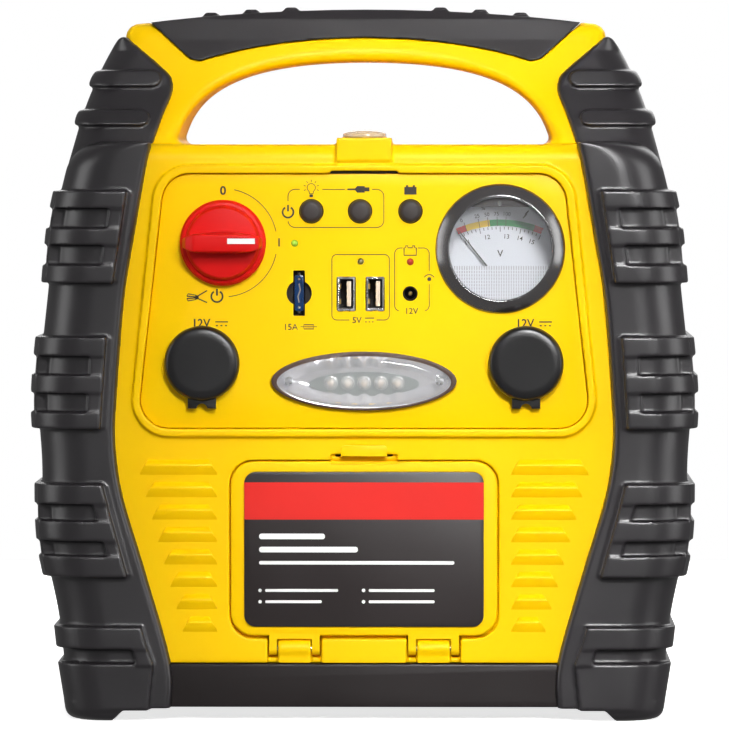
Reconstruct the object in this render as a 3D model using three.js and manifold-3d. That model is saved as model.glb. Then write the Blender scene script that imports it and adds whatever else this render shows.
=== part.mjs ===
// Portable 12 V jump starter pack with air compressor, work light and USB sockets.
// Millimetres. The front faces -Y, +X is to the right seen from the front, +Z is up, and the
// origin is the middle of the pack's footprint on the surface that it stands on.
import * as THREE from 'three';
import { mergeVertices } from 'three/addons/utils/BufferGeometryUtils.js';
import Module from 'manifold-3d';

const wasm = await Module();
wasm.setup();

// ---------------------------------------------------------------- driving dimensions
const GAP = 0.3;                  // air kept between neighbouring pieces
const MID = 4.5;                  // y of the plane where the two case halves meet
const CASE_HALF_DEPTH = 66.5;
const BUMPER_HALF_DEPTH = 71;
const RIB_HALF_DEPTH = 75.5;
const CASE_FRONT = MID - CASE_HALF_DEPTH;
const CASE_REAR = MID + CASE_HALF_DEPTH;
const WALL = 3;
const RUBBER = 7;                 // side thickness of the bumpers
const RIB_RISE = 2.6;             // how far the bumper ribs stand out sideways
const BASE_BOTTOM = 5.2;
const CASE_BOTTOM = 24.4;
const BODY_TOP = 245;
const FAR = 400;                  // larger than the pack, for cutting blocks

const PANEL = { bottom: 124.5, top: 232.5, halfBottom: 97, halfTop: 84.5, corner: 11,
  front: CASE_FRONT - 0.2, back: CASE_FRONT + 2.3 };
const KNOB = { x: -59.9, z: 203.2, radius: 18.3, front: -80 };
const BUTTONS = { light_button: -22.4, usb_button: -1.7, battery_button: 19.7 };
const BUTTON_Z = 216.6;
const FUSE = { x: -27.6, z: 181.8, width: 4.6, height: 18.6 };
const USB = { usb_socket_left: -7.6, usb_socket_right: 4.7 };
const USB_Z = 181.5;
const JACK = { x: 19.6, z: 181.6 };
const LEDS = { power_led: [-29.5, 203, 1.4], charge_led: [19.6, 195.1, 1.4] };
const METER = { x: 57.9, z: 200.7, radius: 27.6, window: 21.7, pivotZ: 185.9, needle: 29.4 };
const SOCKET = { x: 68.8, z: 152, bore: 10.5, barrel: 12.5, capRadius: 16, hingeZ: 134.3, hingeY: -64.4 };
const LAMP = { z: 144.5, halfWidth: 38.9, halfHeight: 12.2, ledZ: 143.4, ledPitch: 7.1, screwX: 32 };
const DOOR = { half: 56.7, bottom: 36, top: 110.3, corner: 9.8, front: CASE_FRONT - 0.5, back: CASE_FRONT + 3 };
const HINGE = { y: CASE_FRONT + 2.5, z: 30.5, middle: 29.6, knuckle: 3, pin: 1.2 };
const LATCH = { half: 10, bottom: 112.4, top: 117.7, travel: 2 };
const BATTERY = { length: 181, width: 77, height: 167, front: -19, bottom: 25 };
const GEARS = { module: 1, crankTeeth: 36, pinionTeeth: 12, x: 6, face: 6, z: 219, crankY: 16, throw: 8 };
const PUMP = { x: 22, radius: 11, front: -32, back: -6 };
const GAUGE = { y: -44, radius: 9.5, top: 251.2 };
const GRIP = { half: 93, inner: 75.7, wrap: 4 };
const HOLE = { half: 80.4, crown: 280.6 };

// ---------------------------------------------------------------- solids
const solid = (geometry) => {
  const bare = geometry.clone();
  bare.deleteAttribute('normal');
  bare.deleteAttribute('uv');
  const merged = mergeVertices(bare, 1e-4);
  return new wasm.Manifold(new wasm.Mesh({
    numProp: 3,
    vertProperties: new Float32Array(merged.attributes.position.array),
    triVerts: new Uint32Array(merged.index.array),
  }));
};

const geometryOf = (body) => {
  const mesh = body.getMesh();
  const geometry = new THREE.BufferGeometry();
  geometry.setAttribute('position', new THREE.BufferAttribute(mesh.vertProperties, 3));
  geometry.setIndex(new THREE.BufferAttribute(mesh.triVerts, 1));
  return geometry;
};

const join = (first, ...rest) => rest.reduce((sum, body) => sum.add(body), first);
const cut = (first, ...rest) => rest.reduce((sum, body) => sum.subtract(body), first);

const block = (x0, x1, y0, y1, z0, z1) => {
  const box = new THREE.BoxGeometry(x1 - x0, y1 - y0, z1 - z0);
  return solid(box.translate((x0 + x1) / 2, (y0 + y1) / 2, (z0 + z1) / 2));
};

// A round bar along X, Y or Z from a to b; u and v are its other two coordinates in X, Y, Z order.
const bar = (axis, u, v, radius, a, b, sides = 18, endRadius = radius) => {
  const rod = new THREE.CylinderGeometry(endRadius, radius, b - a, sides);
  const middle = (a + b) / 2;
  if (axis === 'x') return solid(rod.rotateZ(-Math.PI / 2).translate(middle, u, v));
  if (axis === 'z') return solid(rod.rotateX(Math.PI / 2).translate(u, v, middle));
  return solid(rod.translate(u, middle, v));
};

// A front-view outline in X and Z, made solid from y0 to y1.
const slab = (shape, y0, y1, curveSegments = 4) => {
  const geometry = new THREE.ExtrudeGeometry(shape, { depth: y1 - y0, bevelEnabled: false, curveSegments });
  return solid(geometry.rotateX(Math.PI / 2).translate(0, y1, 0));
};

// A side-view outline in Y and Z, made solid from x0 to x1.
const slice = (shape, x0, x1, curveSegments = 4) => {
  const geometry = new THREE.ExtrudeGeometry(shape, { depth: x1 - x0, bevelEnabled: false, curveSegments });
  return solid(geometry.rotateY(Math.PI / 2).rotateX(Math.PI / 2).translate(x0, 0, 0));
};

const outline = (points) => new THREE.Shape(points.map(([u, v]) => new THREE.Vector2(u, v)));

const roundedRect = (u0, u1, v0, v1, radius) => {
  const shape = new THREE.Shape();
  shape.moveTo(u0 + radius, v0);
  shape.lineTo(u1 - radius, v0);
  shape.absarc(u1 - radius, v0 + radius, radius, -Math.PI / 2, 0);
  shape.lineTo(u1, v1 - radius);
  shape.absarc(u1 - radius, v1 - radius, radius, 0, Math.PI / 2);
  shape.lineTo(u0 + radius, v1);
  shape.absarc(u0 + radius, v1 - radius, radius, Math.PI / 2, Math.PI);
  shape.lineTo(u0, v0 + radius);
  shape.absarc(u0 + radius, v0 + radius, radius, Math.PI, Math.PI * 1.5);
  return shape;
};

const mirrorX = (body) => body.mirror([1, 0, 0]);

// ---------------------------------------------------------------- shared outlines
// Half-width of the pack over the smooth part of the bumpers, from the feet to the shoulder.
const SIDE_CURVE = new THREE.SplineCurve([
  [127, BASE_BOTTOM], [130.5, 42], [137, 76], [138, 110], [139.3, 140], [135, 185],
  [132, 214], [124.7, 245], [118.6, 266], [109.6, 286], [101.2, 296],
].map(([x, z]) => new THREE.Vector2(x, z)));
const SIDE_POINTS = SIDE_CURVE.getPoints(12).map((point) => [point.x, point.y]);

const halfWidthAt = (z) => {
  const upper = SIDE_POINTS.findIndex((point) => point[1] >= z);
  if (upper === 0) return SIDE_POINTS[0][0];
  if (upper < 0) return SIDE_POINTS.at(-1)[0];
  const [x1, z1] = SIDE_POINTS[upper];
  const [x0, z0] = SIDE_POINTS[upper - 1];
  return x0 + (x1 - x0) * (z - z0) / (z1 - z0);
};

// The side curve moved inwards, cut between two heights.
const sideLine = (inset, low, high) => {
  const between = SIDE_POINTS.filter((point) => point[1] > low + 1 && point[1] < high - 1);
  return [[halfWidthAt(low), low], ...between, [halfWidthAt(high), high]]
    .map(([x, z]) => [x - inset, z]);
};

const symmetric = (line) => outline([...line, ...line.map(([x, z]) => [-x, z]).reverse()]);

// Edge of the yellow front face, where the bumpers' front flanges end, from the feet upwards.
const FACE_EDGE = [[82, BASE_BOTTOM], [82, 24.4], [93.9, 66.7], [102.6, 96], [105.6, 118],
  [105, 138], [101.8, 179], [97.3, 207], [91.4, 240], [86.3, 257], [82.6, 267], [82.8, 272.5],
  [86, 277], [103.2, 291.6]];

// Side view of the handle and of the upper bumpers: half-depth against height.
const handleProfile = (extra) => {
  const line = [[54 + extra, 236], [45 + extra, 252], [32 + extra, 270], [21 + extra, 290],
    [17 + extra, 298 + extra], [11, 304 + extra]];
  return outline([...line.map(([y, z]) => [MID + y, z]), ...line.map(([y, z]) => [MID - y, z]).reverse()]);
};

// Side view of the body: square where it sits on the base, rounded at the top.
const bodyProfile = (extra) => {
  const depth = CASE_HALF_DEPTH + extra;
  const low = CASE_BOTTOM - extra;
  const high = BODY_TOP + extra;
  const shape = new THREE.Shape();
  shape.moveTo(MID - depth, low);
  shape.lineTo(MID + depth, low);
  shape.lineTo(MID + depth, high - 7);
  shape.absarc(MID + depth - 7, high - 7, 7, 0, Math.PI / 2);
  shape.lineTo(MID - depth + 7, high);
  shape.absarc(MID - depth + 7, high - 7, 7, Math.PI / 2, Math.PI);
  return shape;
};

const topArc = (x) => 303.2 - 6 * (x / 96) ** 2;

const handleOutline = (extra) => {
  const shoulder = [[103.6 + extra, 291.4], [102.6, 294.4], [100, 296.6]];
  const crown = [92, 65, 35].map((x) => [x, topArc(x)]);
  return symmetric([...sideLine(RUBBER + GAP - extra, 238, 284), ...shoulder, ...crown]);
};

const handleHole = (extra) => {
  const shape = new THREE.Shape();
  const half = HOLE.half - extra;
  const crown = HOLE.crown - extra;
  shape.moveTo(-half, 230);
  shape.lineTo(half, 230);
  shape.lineTo(half, BODY_TOP);
  shape.bezierCurveTo(76 - extra, 266, 58, crown, 0, crown);
  shape.bezierCurveTo(-58, crown, -76 + extra, 266, -half, BODY_TOP);
  return shape;
};

// The whole yellow case as one block; extra swells it for cutting its neighbours clear.
const caseBlock = (extra) => {
  const sides = sideLine(RUBBER + GAP - extra, CASE_BOTTOM - extra, 228);
  const lower = slab(symmetric([...sides, [113 + extra, 240], [104, BODY_TOP + extra]]), -FAR, FAR)
    .intersect(slice(bodyProfile(extra), -FAR, FAR));
  const handle = slab(handleOutline(extra), -FAR, FAR).subtract(slab(handleHole(extra), -FAR - 1, FAR + 1, 6))
    .intersect(slice(handleProfile(extra), -FAR, FAR));
  return lower.add(handle);
};

const panelShape = (extra) => {
  const shape = new THREE.Shape();
  const { bottom, top, halfBottom, halfTop, corner } = PANEL;
  const low = bottom - extra;
  const high = top + extra;
  const wide = halfBottom + extra;
  const narrow = halfTop + extra;
  const round = corner + extra;
  shape.moveTo(-wide + round, low);
  shape.lineTo(wide - round, low);
  shape.quadraticCurveTo(wide, low, wide - 1.2, low + round);
  shape.lineTo(narrow + 1.6, high - round);
  shape.quadraticCurveTo(narrow, high, narrow - round, high);
  shape.lineTo(-narrow + round, high);
  shape.quadraticCurveTo(-narrow, high, -narrow - 1.6, high - round);
  shape.lineTo(-wide + 1.2, low + round);
  shape.quadraticCurveTo(-wide, low, -wide + round, low);
  return shape;
};

const lampShape = (extra) => {
  const shape = new THREE.Shape();
  const wide = LAMP.halfWidth + extra * 1.6;
  const tall = LAMP.halfHeight + extra;
  shape.moveTo(-wide, LAMP.z);
  shape.bezierCurveTo(-wide * 0.86, LAMP.z - tall * 0.66, -wide * 0.5, LAMP.z - tall, 0, LAMP.z - tall);
  shape.bezierCurveTo(wide * 0.5, LAMP.z - tall, wide * 0.86, LAMP.z - tall * 0.66, wide, LAMP.z);
  shape.bezierCurveTo(wide * 0.86, LAMP.z + tall * 0.66, wide * 0.5, LAMP.z + tall, 0, LAMP.z + tall);
  shape.bezierCurveTo(-wide * 0.5, LAMP.z + tall, -wide * 0.86, LAMP.z + tall * 0.66, -wide, LAMP.z);
  return shape;
};

// ---------------------------------------------------------------- case halves
const INSIDE_FRONT = CASE_FRONT + WALL;
const INSIDE_REAR = CASE_REAR - WALL;
const SCREWS = [[-104, 60], [104, 60], [-104, 190], [104, 190]];

const caseHalves = () => {
  const hollow = slab(symmetric([...sideLine(RUBBER + GAP + WALL, CASE_BOTTOM - 1, 228), [104, BODY_TOP - WALL]]),
    INSIDE_FRONT, INSIDE_REAR);
  const shell = caseBlock(0).subtract(hollow).subtract(gripSeat());
  const front = shell.intersect(block(-FAR, FAR, -FAR, MID - GAP / 2, -FAR, FAR));
  const rear = shell.intersect(block(-FAR, FAR, MID + GAP / 2, FAR, -FAR, FAR));
  return { front, rear };
};

const frontCase = (half) => {
  const bead = slab(panelShape(4), CASE_FRONT - 2.4, CASE_FRONT + 0.5).subtract(slab(panelShape(GAP), -FAR, FAR));
  const ledge = slab(panelShape(2), PANEL.back + GAP, PANEL.back + GAP + 2.4);
  const doorFrame = block(-62, 62, INSIDE_FRONT - 0.5, INSIDE_FRONT + 4.5, CASE_BOTTOM, 121);
  const middleBlock = block(-17.8, 17.8, CASE_FRONT - 0.5, CASE_FRONT + 1, CASE_BOTTOM, 34.3);
  const pod = slab(roundedRect(-11.7, 11.7, 236, 247.8, 2), CASE_FRONT - 2.4, GAUGE.y + 12);
  const ridges = [];
  for (let row = 0; row < 8; row += 1) {
    const z = 44.2 + row * 9.6;
    const outer = row > 5 ? 97 - (row - 5) * 0.2 : 79.5 + row * 3.1;
    for (const side of [-1, 1]) {
      const a = side * 61.8;
      const b = side * outer;
      ridges.push(block(Math.min(a, b), Math.max(a, b), CASE_FRONT - 1.6, CASE_FRONT + 1, z - 1.9, z + 1.9));
    }
  }
  let body = join(half, bead, ledge, doorFrame, middleBlock, pod, ...ridges);
  body = cut(body,
    slab(panelShape(GAP), -FAR, PANEL.back + GAP),
    slab(panelShape(-4), -FAR, INSIDE_FRONT + 10),
    slab(roundedRect(-DOOR.half - 0.4, DOOR.half + 0.4, 34.8, DOOR.top + 0.4, DOOR.corner), -FAR, DOOR.back + 0.4),
    slab(roundedRect(-51, 51, 42, 105, 4), -FAR, FAR / 20),
    block(-LATCH.half + 3, LATCH.half - 3, -FAR, INSIDE_FRONT + 5, LATCH.bottom + 0.4, LATCH.top + 1.6),
    block(-LATCH.half - 3, LATCH.half + 3, INSIDE_FRONT - 0.6, INSIDE_FRONT + 5, LATCH.bottom - 0.6, LATCH.top + 5),
    bar('z', 0, GAUGE.y, 8.6, 225, FAR, 20));
  for (const side of [-1, 1]) {
    const x = side * HINGE.middle;
    const knuckle = join(bar('x', HINGE.y, HINGE.z, HINGE.knuckle, x - 7, x + 7, 14),
      block(x - 7, x + 7, HINGE.y, INSIDE_FRONT + 3.5, HINGE.z - 3, HINGE.z + 3));
    body = cut(body, block(x - 11.4, x + 11.4, -FAR, INSIDE_FRONT + 3, 26.6, 37));
    body = cut(body.add(knuckle), bar('x', HINGE.y, HINGE.z, HINGE.pin + GAP, x - 12, x + 12, 12));
  }
  return body;
};

const rearCase = (half) => {
  let body = half;
  for (const [x, z] of SCREWS) {
    body = body.add(bar('y', x, z, 5, MID + 20, CASE_REAR - 1, 12));
    body = body.subtract(bar('y', x, z, 3.6, CASE_REAR - 6, FAR, 12));
    body = body.subtract(bar('y', x, z, 1.9, MID, FAR, 10));
  }
  for (let row = 0; row < 6; row += 1) {
    body = body.subtract(block(-30, 30, MID + 50, FAR, 204 + row * 5.5, 206.4 + row * 5.5));
  }
  body = body.subtract(slab(roundedRect(-16.3, 16.3, 38.2, 53.8, 7.3), MID + 50, FAR, 5));
  body = body.subtract(bar('y', 62, 214, 6.3, MID + 50, FAR, 14));
  return body.subtract(block(-76.3, -53.7, MID + 50, FAR, 206.2, 221.8));
};

// ---------------------------------------------------------------- handle grip
const gripBand = (inset, drop) => {
  const shape = new THREE.Shape();
  const foot = 281.8;
  const slant = (GRIP.half - GRIP.inner) / (topArc(GRIP.half) - foot);
  const end = GRIP.half - inset - slant * drop;
  const inner = GRIP.inner - inset;
  const endTop = topArc(GRIP.half) - drop;
  shape.moveTo(-end, endTop);
  shape.lineTo(-inner, foot);
  shape.lineTo(-71, 280.6 + inset);
  shape.bezierCurveTo(-62, 284 + inset, -36, 290.7 + inset, 0, 290.7 + inset);
  shape.bezierCurveTo(36, 290.7 + inset, 62, 284 + inset, 71, 280.6 + inset);
  shape.lineTo(inner, foot);
  shape.lineTo(end, endTop);
  for (const x of [60, 30, 0, -30, -60]) shape.lineTo(x, topArc(x) - drop);
  return shape;
};

// The room the grip pad takes from the handle: all round it except the core that it clasps.
const gripSeat = () => {
  const core = slice(handleProfile(-GRIP.wrap), -FAR, FAR).intersect(slab(gripBand(-2, GRIP.wrap), -FAR, FAR));
  const room = slab(gripBand(0, -6), -FAR, FAR);
  return room.subtract(core);
};

const gripPad = () => {
  const skin = slice(handleProfile(1.2), -FAR, FAR);
  let body = slab(gripBand(GAP, 0), -FAR, FAR).intersect(skin);
  for (const x of [-65.2, -47.8, -30.8, 30.8, 47.8, 65.2]) {
    const top = topArc(x) + 1.6;
    body = body.add(slab(roundedRect(x - 3.6, x + 3.6, top - 8, top, 1.6), MID - 14, MID + 14, 3));
  }
  const core = slice(handleProfile(-GRIP.wrap + GAP), -FAR, FAR)
    .intersect(slab(gripBand(-4, GRIP.wrap - GAP), -FAR, FAR));
  return body.subtract(core);
};

// ---------------------------------------------------------------- bumpers
// Each group: its ribs as [bottom, top] heights, and the x of their inner ends at the group's
// bottom and top.
const RIB_GROUPS = [
  { ribs: [[186.1, 193.8], [202.3, 209.5], [218, 225.2]], endLow: 106.6, endHigh: 100.8 },
  { ribs: [[124.1, 131.3], [139.4, 147], [155.1, 163.2]], endLow: 112, endHigh: 109.5 },
  { ribs: [[61.2, 70.1], [76.5, 85], [92.2, 100.7]], endLow: 100.8, endHigh: 111.2 },
  { ribs: [[30.6, 40]], endLow: 92.2, endHigh: 94.6 },
];
const FOOT_REACH = [47, 73.5];    // front and rear feet, measured from MID

const bumper = () => {
  const low = outline([...sideLine(0, BASE_BOTTOM, 236), [121, 242], [113.5, 246], [90.2, 246],
    ...FACE_EDGE.filter((point) => point[1] < 245).reverse()]);
  const high = outline([...sideLine(0, 236, 288), [105.4, 291.6],
    ...FACE_EDGE.filter((point) => point[1] > 235).reverse()]);
  const lower = slab(low, MID - BUMPER_HALF_DEPTH, MID + BUMPER_HALF_DEPTH);
  const upper = slab(high, -FAR, FAR).intersect(slice(handleProfile(4), -FAR, FAR));
  const parts = [lower, upper];
  for (const { ribs, endLow, endHigh } of RIB_GROUPS) {
    const bottom = ribs[0][0];
    const top = ribs.at(-1)[1];
    const endAt = (z) => endLow + (endHigh - endLow) * (z - bottom) / (top - bottom);
    for (const [z0, z1] of ribs) {
      const shape = outline([...sideLine(-RIB_RISE, z0, z1), [endAt(z1), z1], [endAt(z0), z0]]);
      parts.push(slab(shape, MID - RIB_HALF_DEPTH, MID + RIB_HALF_DEPTH));
    }
    if (ribs.length > 1) {
      const [low, high] = [bottom + 2, top - 2];
      const strip = outline([[endAt(low) + 5.5, low], [endAt(high) + 5.5, high],
        [endAt(high), high], [endAt(low), low]]);
      parts.push(slab(strip, MID - RIB_HALF_DEPTH, MID + RIB_HALF_DEPTH));
    }
  }
  for (const [x0, x1, z0, z1] of [[87.6, 115.2, 269.8, 276.8], [92.2, 122.4, 253.2, 259.8]]) {
    const rib = slab(roundedRect(x0, x1, z0, z1, 2.6), -FAR, FAR, 3);
    parts.push(rib.intersect(slice(handleProfile(6.5), -FAR, FAR)));
  }
  for (const side of [-1, 1]) {
    const [near, far] = FOOT_REACH.map((reach) => MID + side * reach);
    parts.push(block(101.6, 126.6, Math.min(near, far), Math.max(near, far), 0, BASE_BOTTOM + 1));
  }
  parts.push(slab(outline([[88.5, 5.4], [127, 5.4], [129.4, 24.5], [88.5, 24.5]]), MID - 73.5, MID + 73.5));
  const body = cut(join(...parts), caseBlock(GAP), baseBlock(GAP));
  return body;
};

// ---------------------------------------------------------------- base
const baseBlock = (extra) => slab(
  symmetric(sideLine(RUBBER + GAP - extra, BASE_BOTTOM + 0.4 - extra, CASE_BOTTOM - GAP + extra)),
  CASE_FRONT - 0.4 - extra, CASE_REAR + 0.4 + extra);

const baseTray = () => cut(baseBlock(0),
  slab(symmetric(sideLine(RUBBER + GAP + WALL, BASE_BOTTOM + 4, FAR / 2)), INSIDE_FRONT, INSIDE_REAR));

// ---------------------------------------------------------------- control panel
const controlPanel = () => {
  const { front, back } = PANEL;
  let body = slab(panelShape(0), front, back);
  const holes = [
    bar('y', KNOB.x, KNOB.z, 6, -FAR, FAR, 14),
    bar('y', METER.x, METER.z, 25.9, -FAR, FAR, 24),
    bar('y', -SOCKET.x, SOCKET.z, SOCKET.barrel + GAP, -FAR, FAR, 20),
    bar('y', SOCKET.x, SOCKET.z, SOCKET.barrel + GAP, -FAR, FAR, 20),
    slab(lampShape(-1.4), -FAR, FAR, 4),
    bar('y', JACK.x, JACK.z, 4.2, -FAR, FAR, 14),
    block(FUSE.x - 2.8, FUSE.x + 2.8, -FAR, FAR, FUSE.z - 9.8, FUSE.z + 9.8),
    bar('y', FUSE.x, FUSE.z, 5.4, -FAR, FAR, 16),
  ];
  for (const x of Object.values(BUTTONS)) holes.push(bar('y', x, BUTTON_Z, 5.3, -FAR, FAR, 16));
  for (const x of Object.values(USB)) holes.push(block(x - 4.3, x + 4.3, -FAR, FAR, USB_Z - 7.5, USB_Z + 7.5));
  for (const [x, z, radius] of Object.values(LEDS)) holes.push(bar('y', x, z, radius + GAP, -FAR, FAR, 10));
  for (const side of [-1, 1]) holes.push(bar('y', side * LAMP.screwX, LAMP.z, 1.8, -FAR, FAR, 10));
  for (const hole of holes) body = body.subtract(hole);
  return body;
};

const modeKnob = () => {
  const { x, z, radius, front } = KNOB;
  return cut(join(
    bar('y', x, z, radius, PANEL.front - 4.2, PANEL.front - GAP, 24),
    bar('y', x, z, radius - 2.4, PANEL.front - 8, PANEL.front - 4, 24, radius - 3.6),
    slab(roundedRect(x - 16.6, x + 16.6, z - 4.2, z + 4.2, 3), front, PANEL.front - 6, 4),
    bar('y', x, z, 4, PANEL.front - 1, -48, 14)),
  block(x + 2.5, x + 14.6, -FAR, front + 0.6, z - 1.2, z + 1.2));
};

const modeSwitch = () => cut(
  join(slab(roundedRect(KNOB.x - 20, KNOB.x + 20, KNOB.z - 20, KNOB.z + 20, 4), PANEL.back + 3.2, -30, 3),
    block(KNOB.x - 8, KNOB.x - 3, -31, -22, KNOB.z - 14, KNOB.z + 14)),
  bar('y', KNOB.x, KNOB.z, 4 + GAP, -FAR, -45, 14));

const pushButton = (x) => join(
  bar('y', x, BUTTON_Z, 4.9, PANEL.front - 2.6, PANEL.back, 16),
  bar('y', x, BUTTON_Z, 6.2, PANEL.back + GAP, PANEL.back + 1.6, 16),
  bar('y', x, BUTTON_Z, 2, PANEL.back + 1, PANEL.back + 3.4, 10),
  bar('y', x, BUTTON_Z, 4.9, PANEL.back - 0.2, PANEL.back + GAP + 0.1, 16));

const buttonBoard = () => {
  const face = PANEL.back + 7;
  let body = block(-34, 31, face, face + 1.6, BUTTON_Z - 8, BUTTON_Z + 8);
  for (const x of Object.values(BUTTONS)) body = body.add(block(x - 3, x + 3, face - 1.8, face + 0.5, BUTTON_Z - 3, BUTTON_Z + 3));
  return body;
};

// The blade fuse pulls straight out of its holder towards the front.
const FUSE_BACK = PANEL.front + 7;
const bladeFuse = () => {
  const { x, z, width, height } = FUSE;
  let body = block(x - width / 2, x + width / 2, PANEL.front + 0.3, FUSE_BACK, z - height / 2, z + height / 2);
  for (const side of [-1, 1]) {
    const middle = z + side * 6;
    body = body.add(block(x - 0.4, x + 0.4, FUSE_BACK - 0.5, FUSE_BACK + 11, middle - 2.5, middle + 2.5));
  }
  return body;
};

const fuseHolder = () => {
  const { x, z, width, height } = FUSE;
  let body = block(x - 5, x + 5, PANEL.back + GAP, FUSE_BACK + 14, z - 12.6, z + 12.6);
  body = body.subtract(block(x - width / 2 - GAP, x + width / 2 + GAP, -FAR, FUSE_BACK + GAP,
    z - height / 2 - GAP, z + height / 2 + GAP));
  for (const side of [-1, 1]) {
    const middle = z + side * 6;
    body = body.subtract(block(x - 0.8, x + 0.8, -FAR, FUSE_BACK + 12, middle - 2.9, middle + 2.9));
  }
  return body;
};

const usbSocket = (x) => join(
  cut(block(x - 3.9, x + 3.9, PANEL.front, PANEL.front + 15, USB_Z - 7.1, USB_Z + 7.1),
    block(x - 2.7, x + 2.7, -FAR, PANEL.front + 12.5, USB_Z - 6.2, USB_Z + 6.2)),
  block(x - 1.9, x - 0.1, PANEL.front + 1, PANEL.front + 13, USB_Z - 5.4, USB_Z + 5.4));

const chargeJack = () => join(
  cut(join(bar('y', JACK.x, JACK.z, 3.9, PANEL.front - 0.4, PANEL.front + 12, 16),
    bar('y', JACK.x, JACK.z, 5.4, PANEL.back + GAP, PANEL.back + 3, 16)),
  bar('y', JACK.x, JACK.z, 2.9, -FAR, PANEL.front + 10, 14)),
  bar('y', JACK.x, JACK.z, 0.9, PANEL.front + 1.5, PANEL.front + 11, 10));

const panelLed = ([x, z, radius]) => join(
  bar('y', x, z, radius, PANEL.front - 0.9, PANEL.back + 1, 10),
  bar('y', x, z, radius + 0.8, PANEL.back + GAP, PANEL.back + 3, 10));

// ---------------------------------------------------------------- voltmeter
const meterBezel = () => {
  const { x, z, radius, window } = METER;
  const front = PANEL.front - 4.6;
  return cut(join(bar('y', x, z, radius, front + 1.6, PANEL.front - GAP, 28),
    bar('y', x, z, radius - 1.8, front, front + 1.7, 28, radius)),
  bar('y', x, z, window, -FAR, FAR, 28),
  bar('y', x, z, 24.8, front + 1.6, FAR, 28));
};

const meterLens = () => bar('y', METER.x, METER.z, 24.4, PANEL.front - 2.7, PANEL.front - 1.5, 24);

const METER_BACK = PANEL.front + 20;
const meterCase = () => cut(
  bar('y', METER.x, METER.z, 25.5, PANEL.front, METER_BACK, 24),
  bar('y', METER.x, METER.z, 24, -FAR, METER_BACK - 1.6, 24));

const meterDial = () => cut(
  bar('y', METER.x, METER.z, 23.6, METER_BACK - 3.4, METER_BACK - 2.4, 20),
  bar('y', METER.x, METER.pivotZ, 1.5, -FAR, FAR, 10));

const meterNeedle = () => {
  const y = METER_BACK - 6;
  const rest = THREE.MathUtils.degToRad(38.4);
  const tipX = -Math.sin(rest);
  const tipZ = Math.cos(rest);
  const at = (along, across) => [METER.x + tipX * along + tipZ * across, METER.pivotZ + tipZ * along - tipX * across];
  const blade = outline([at(-5, -0.9), at(METER.needle, -0.3), at(METER.needle, 0.3), at(-5, 0.9)].reverse());
  return join(slab(blade, y, y + 0.6), bar('y', METER.x, METER.pivotZ, 2.4, y - 0.8, y + 1, 12),
    bar('y', METER.x, METER.pivotZ, 1, y, METER_BACK - 2, 10));
};

// The lower shroud of the voltmeter, which hides its movement in front of the needle's pivot.
const meterShroud = () => bar('y', METER.x, METER.z, 23.6, METER_BACK - 10.5, METER_BACK - 8.5, 24)
  .intersect(block(-FAR, FAR, -FAR, FAR, 0, 193.2));

// ---------------------------------------------------------------- 12 V sockets
const powerSocket = (x) => {
  const { z, bore, barrel } = SOCKET;
  const front = PANEL.front;
  const body = cut(join(
    bar('y', x, z, 15, front - 1.5, front - GAP, 24),
    bar('y', x, z, barrel, front - 1, front + 39, 20)),
  bar('y', x, z, bore, -FAR, front + 36, 20));
  return body.add(bar('y', x, z, 3, front + 32, front + 37, 10));
};

const socketCap = (x) => {
  const { z, capRadius, hingeZ, hingeY } = SOCKET;
  const back = PANEL.front - 1.5 - GAP;
  return cut(join(
    bar('y', x, z, capRadius, back - 3.4, back, 28),
    bar('y', x, z, capRadius - 1.6, back - 5.2, back - 3.3, 28, capRadius),
    bar('y', x, z, 9.6, back - 1, back + 2.6, 18),
    block(x - 6, x + 6, hingeY - 1.6, hingeY + 0.4, hingeZ - 1, z - 12),
    bar('x', hingeY, hingeZ, 1.6, x - 6, x + 6, 10)),
  bar('y', x, z, 7, back - 0.4, FAR, 16));
};

// ---------------------------------------------------------------- lamp
const lampReflector = () => {
  let body = cut(slab(lampShape(-1.8), PANEL.front - 0.5, PANEL.front + 8, 4),
    slab(lampShape(-3), -FAR, PANEL.front + 6.6, 4));
  body = body.add(cut(slab(lampShape(0), PANEL.front - 1.5, PANEL.front - GAP, 4), slab(lampShape(-3), -FAR, FAR, 4)));
  for (let led = -2; led <= 2; led += 1) {
    body = body.subtract(bar('y', led * LAMP.ledPitch, LAMP.ledZ, 2.8, -FAR, FAR, 12));
  }
  for (const side of [-1, 1]) {
    body = body.add(bar('y', side * LAMP.screwX, LAMP.z, 2.6, PANEL.front, PANEL.front + 7, 10));
    body = body.subtract(bar('y', side * LAMP.screwX, LAMP.z, 1.4, -FAR, FAR, 10));
    body = body.subtract(bar('y', side * LAMP.screwX, LAMP.z, FAR / 100, -FAR, PANEL.front - GAP, 10));
  }
  return body;
};

const lampLens = () => {
  const front = PANEL.front - 5;
  const dome = join(slab(lampShape(-0.4), front + 1.6, front + 3.2, 5), slab(lampShape(-2.4), front + 0.6, front + 1.7, 5),
    slab(lampShape(-5), front, front + 0.7, 5));
  const holes = [-1, 1].map((side) => bar('y', side * LAMP.screwX, LAMP.z, 2.3, -FAR, FAR, 10));
  return cut(dome, ...holes);
};

const lampBoard = () => {
  const face = PANEL.front + 9;
  let body = block(-24, 24, face, face + 1.6, LAMP.z - 8, LAMP.z + 6);
  for (let led = -2; led <= 2; led += 1) {
    const x = led * LAMP.ledPitch;
    body = body.add(bar('y', x, LAMP.ledZ, 2.4, PANEL.front + 4.2, face + 0.5, 10));
    body = body.add(bar('y', x, LAMP.ledZ, 1.2, PANEL.front + 2.6, PANEL.front + 4.3, 10, 2.4));
  }
  return body;
};

const lampScrew = (x) => join(
  bar('y', x, LAMP.z, 2, PANEL.front - 4.6, PANEL.front - 1.9, 10),
  bar('y', x, LAMP.z, 1, PANEL.front - 2, PANEL.front + 9, 10));

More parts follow.
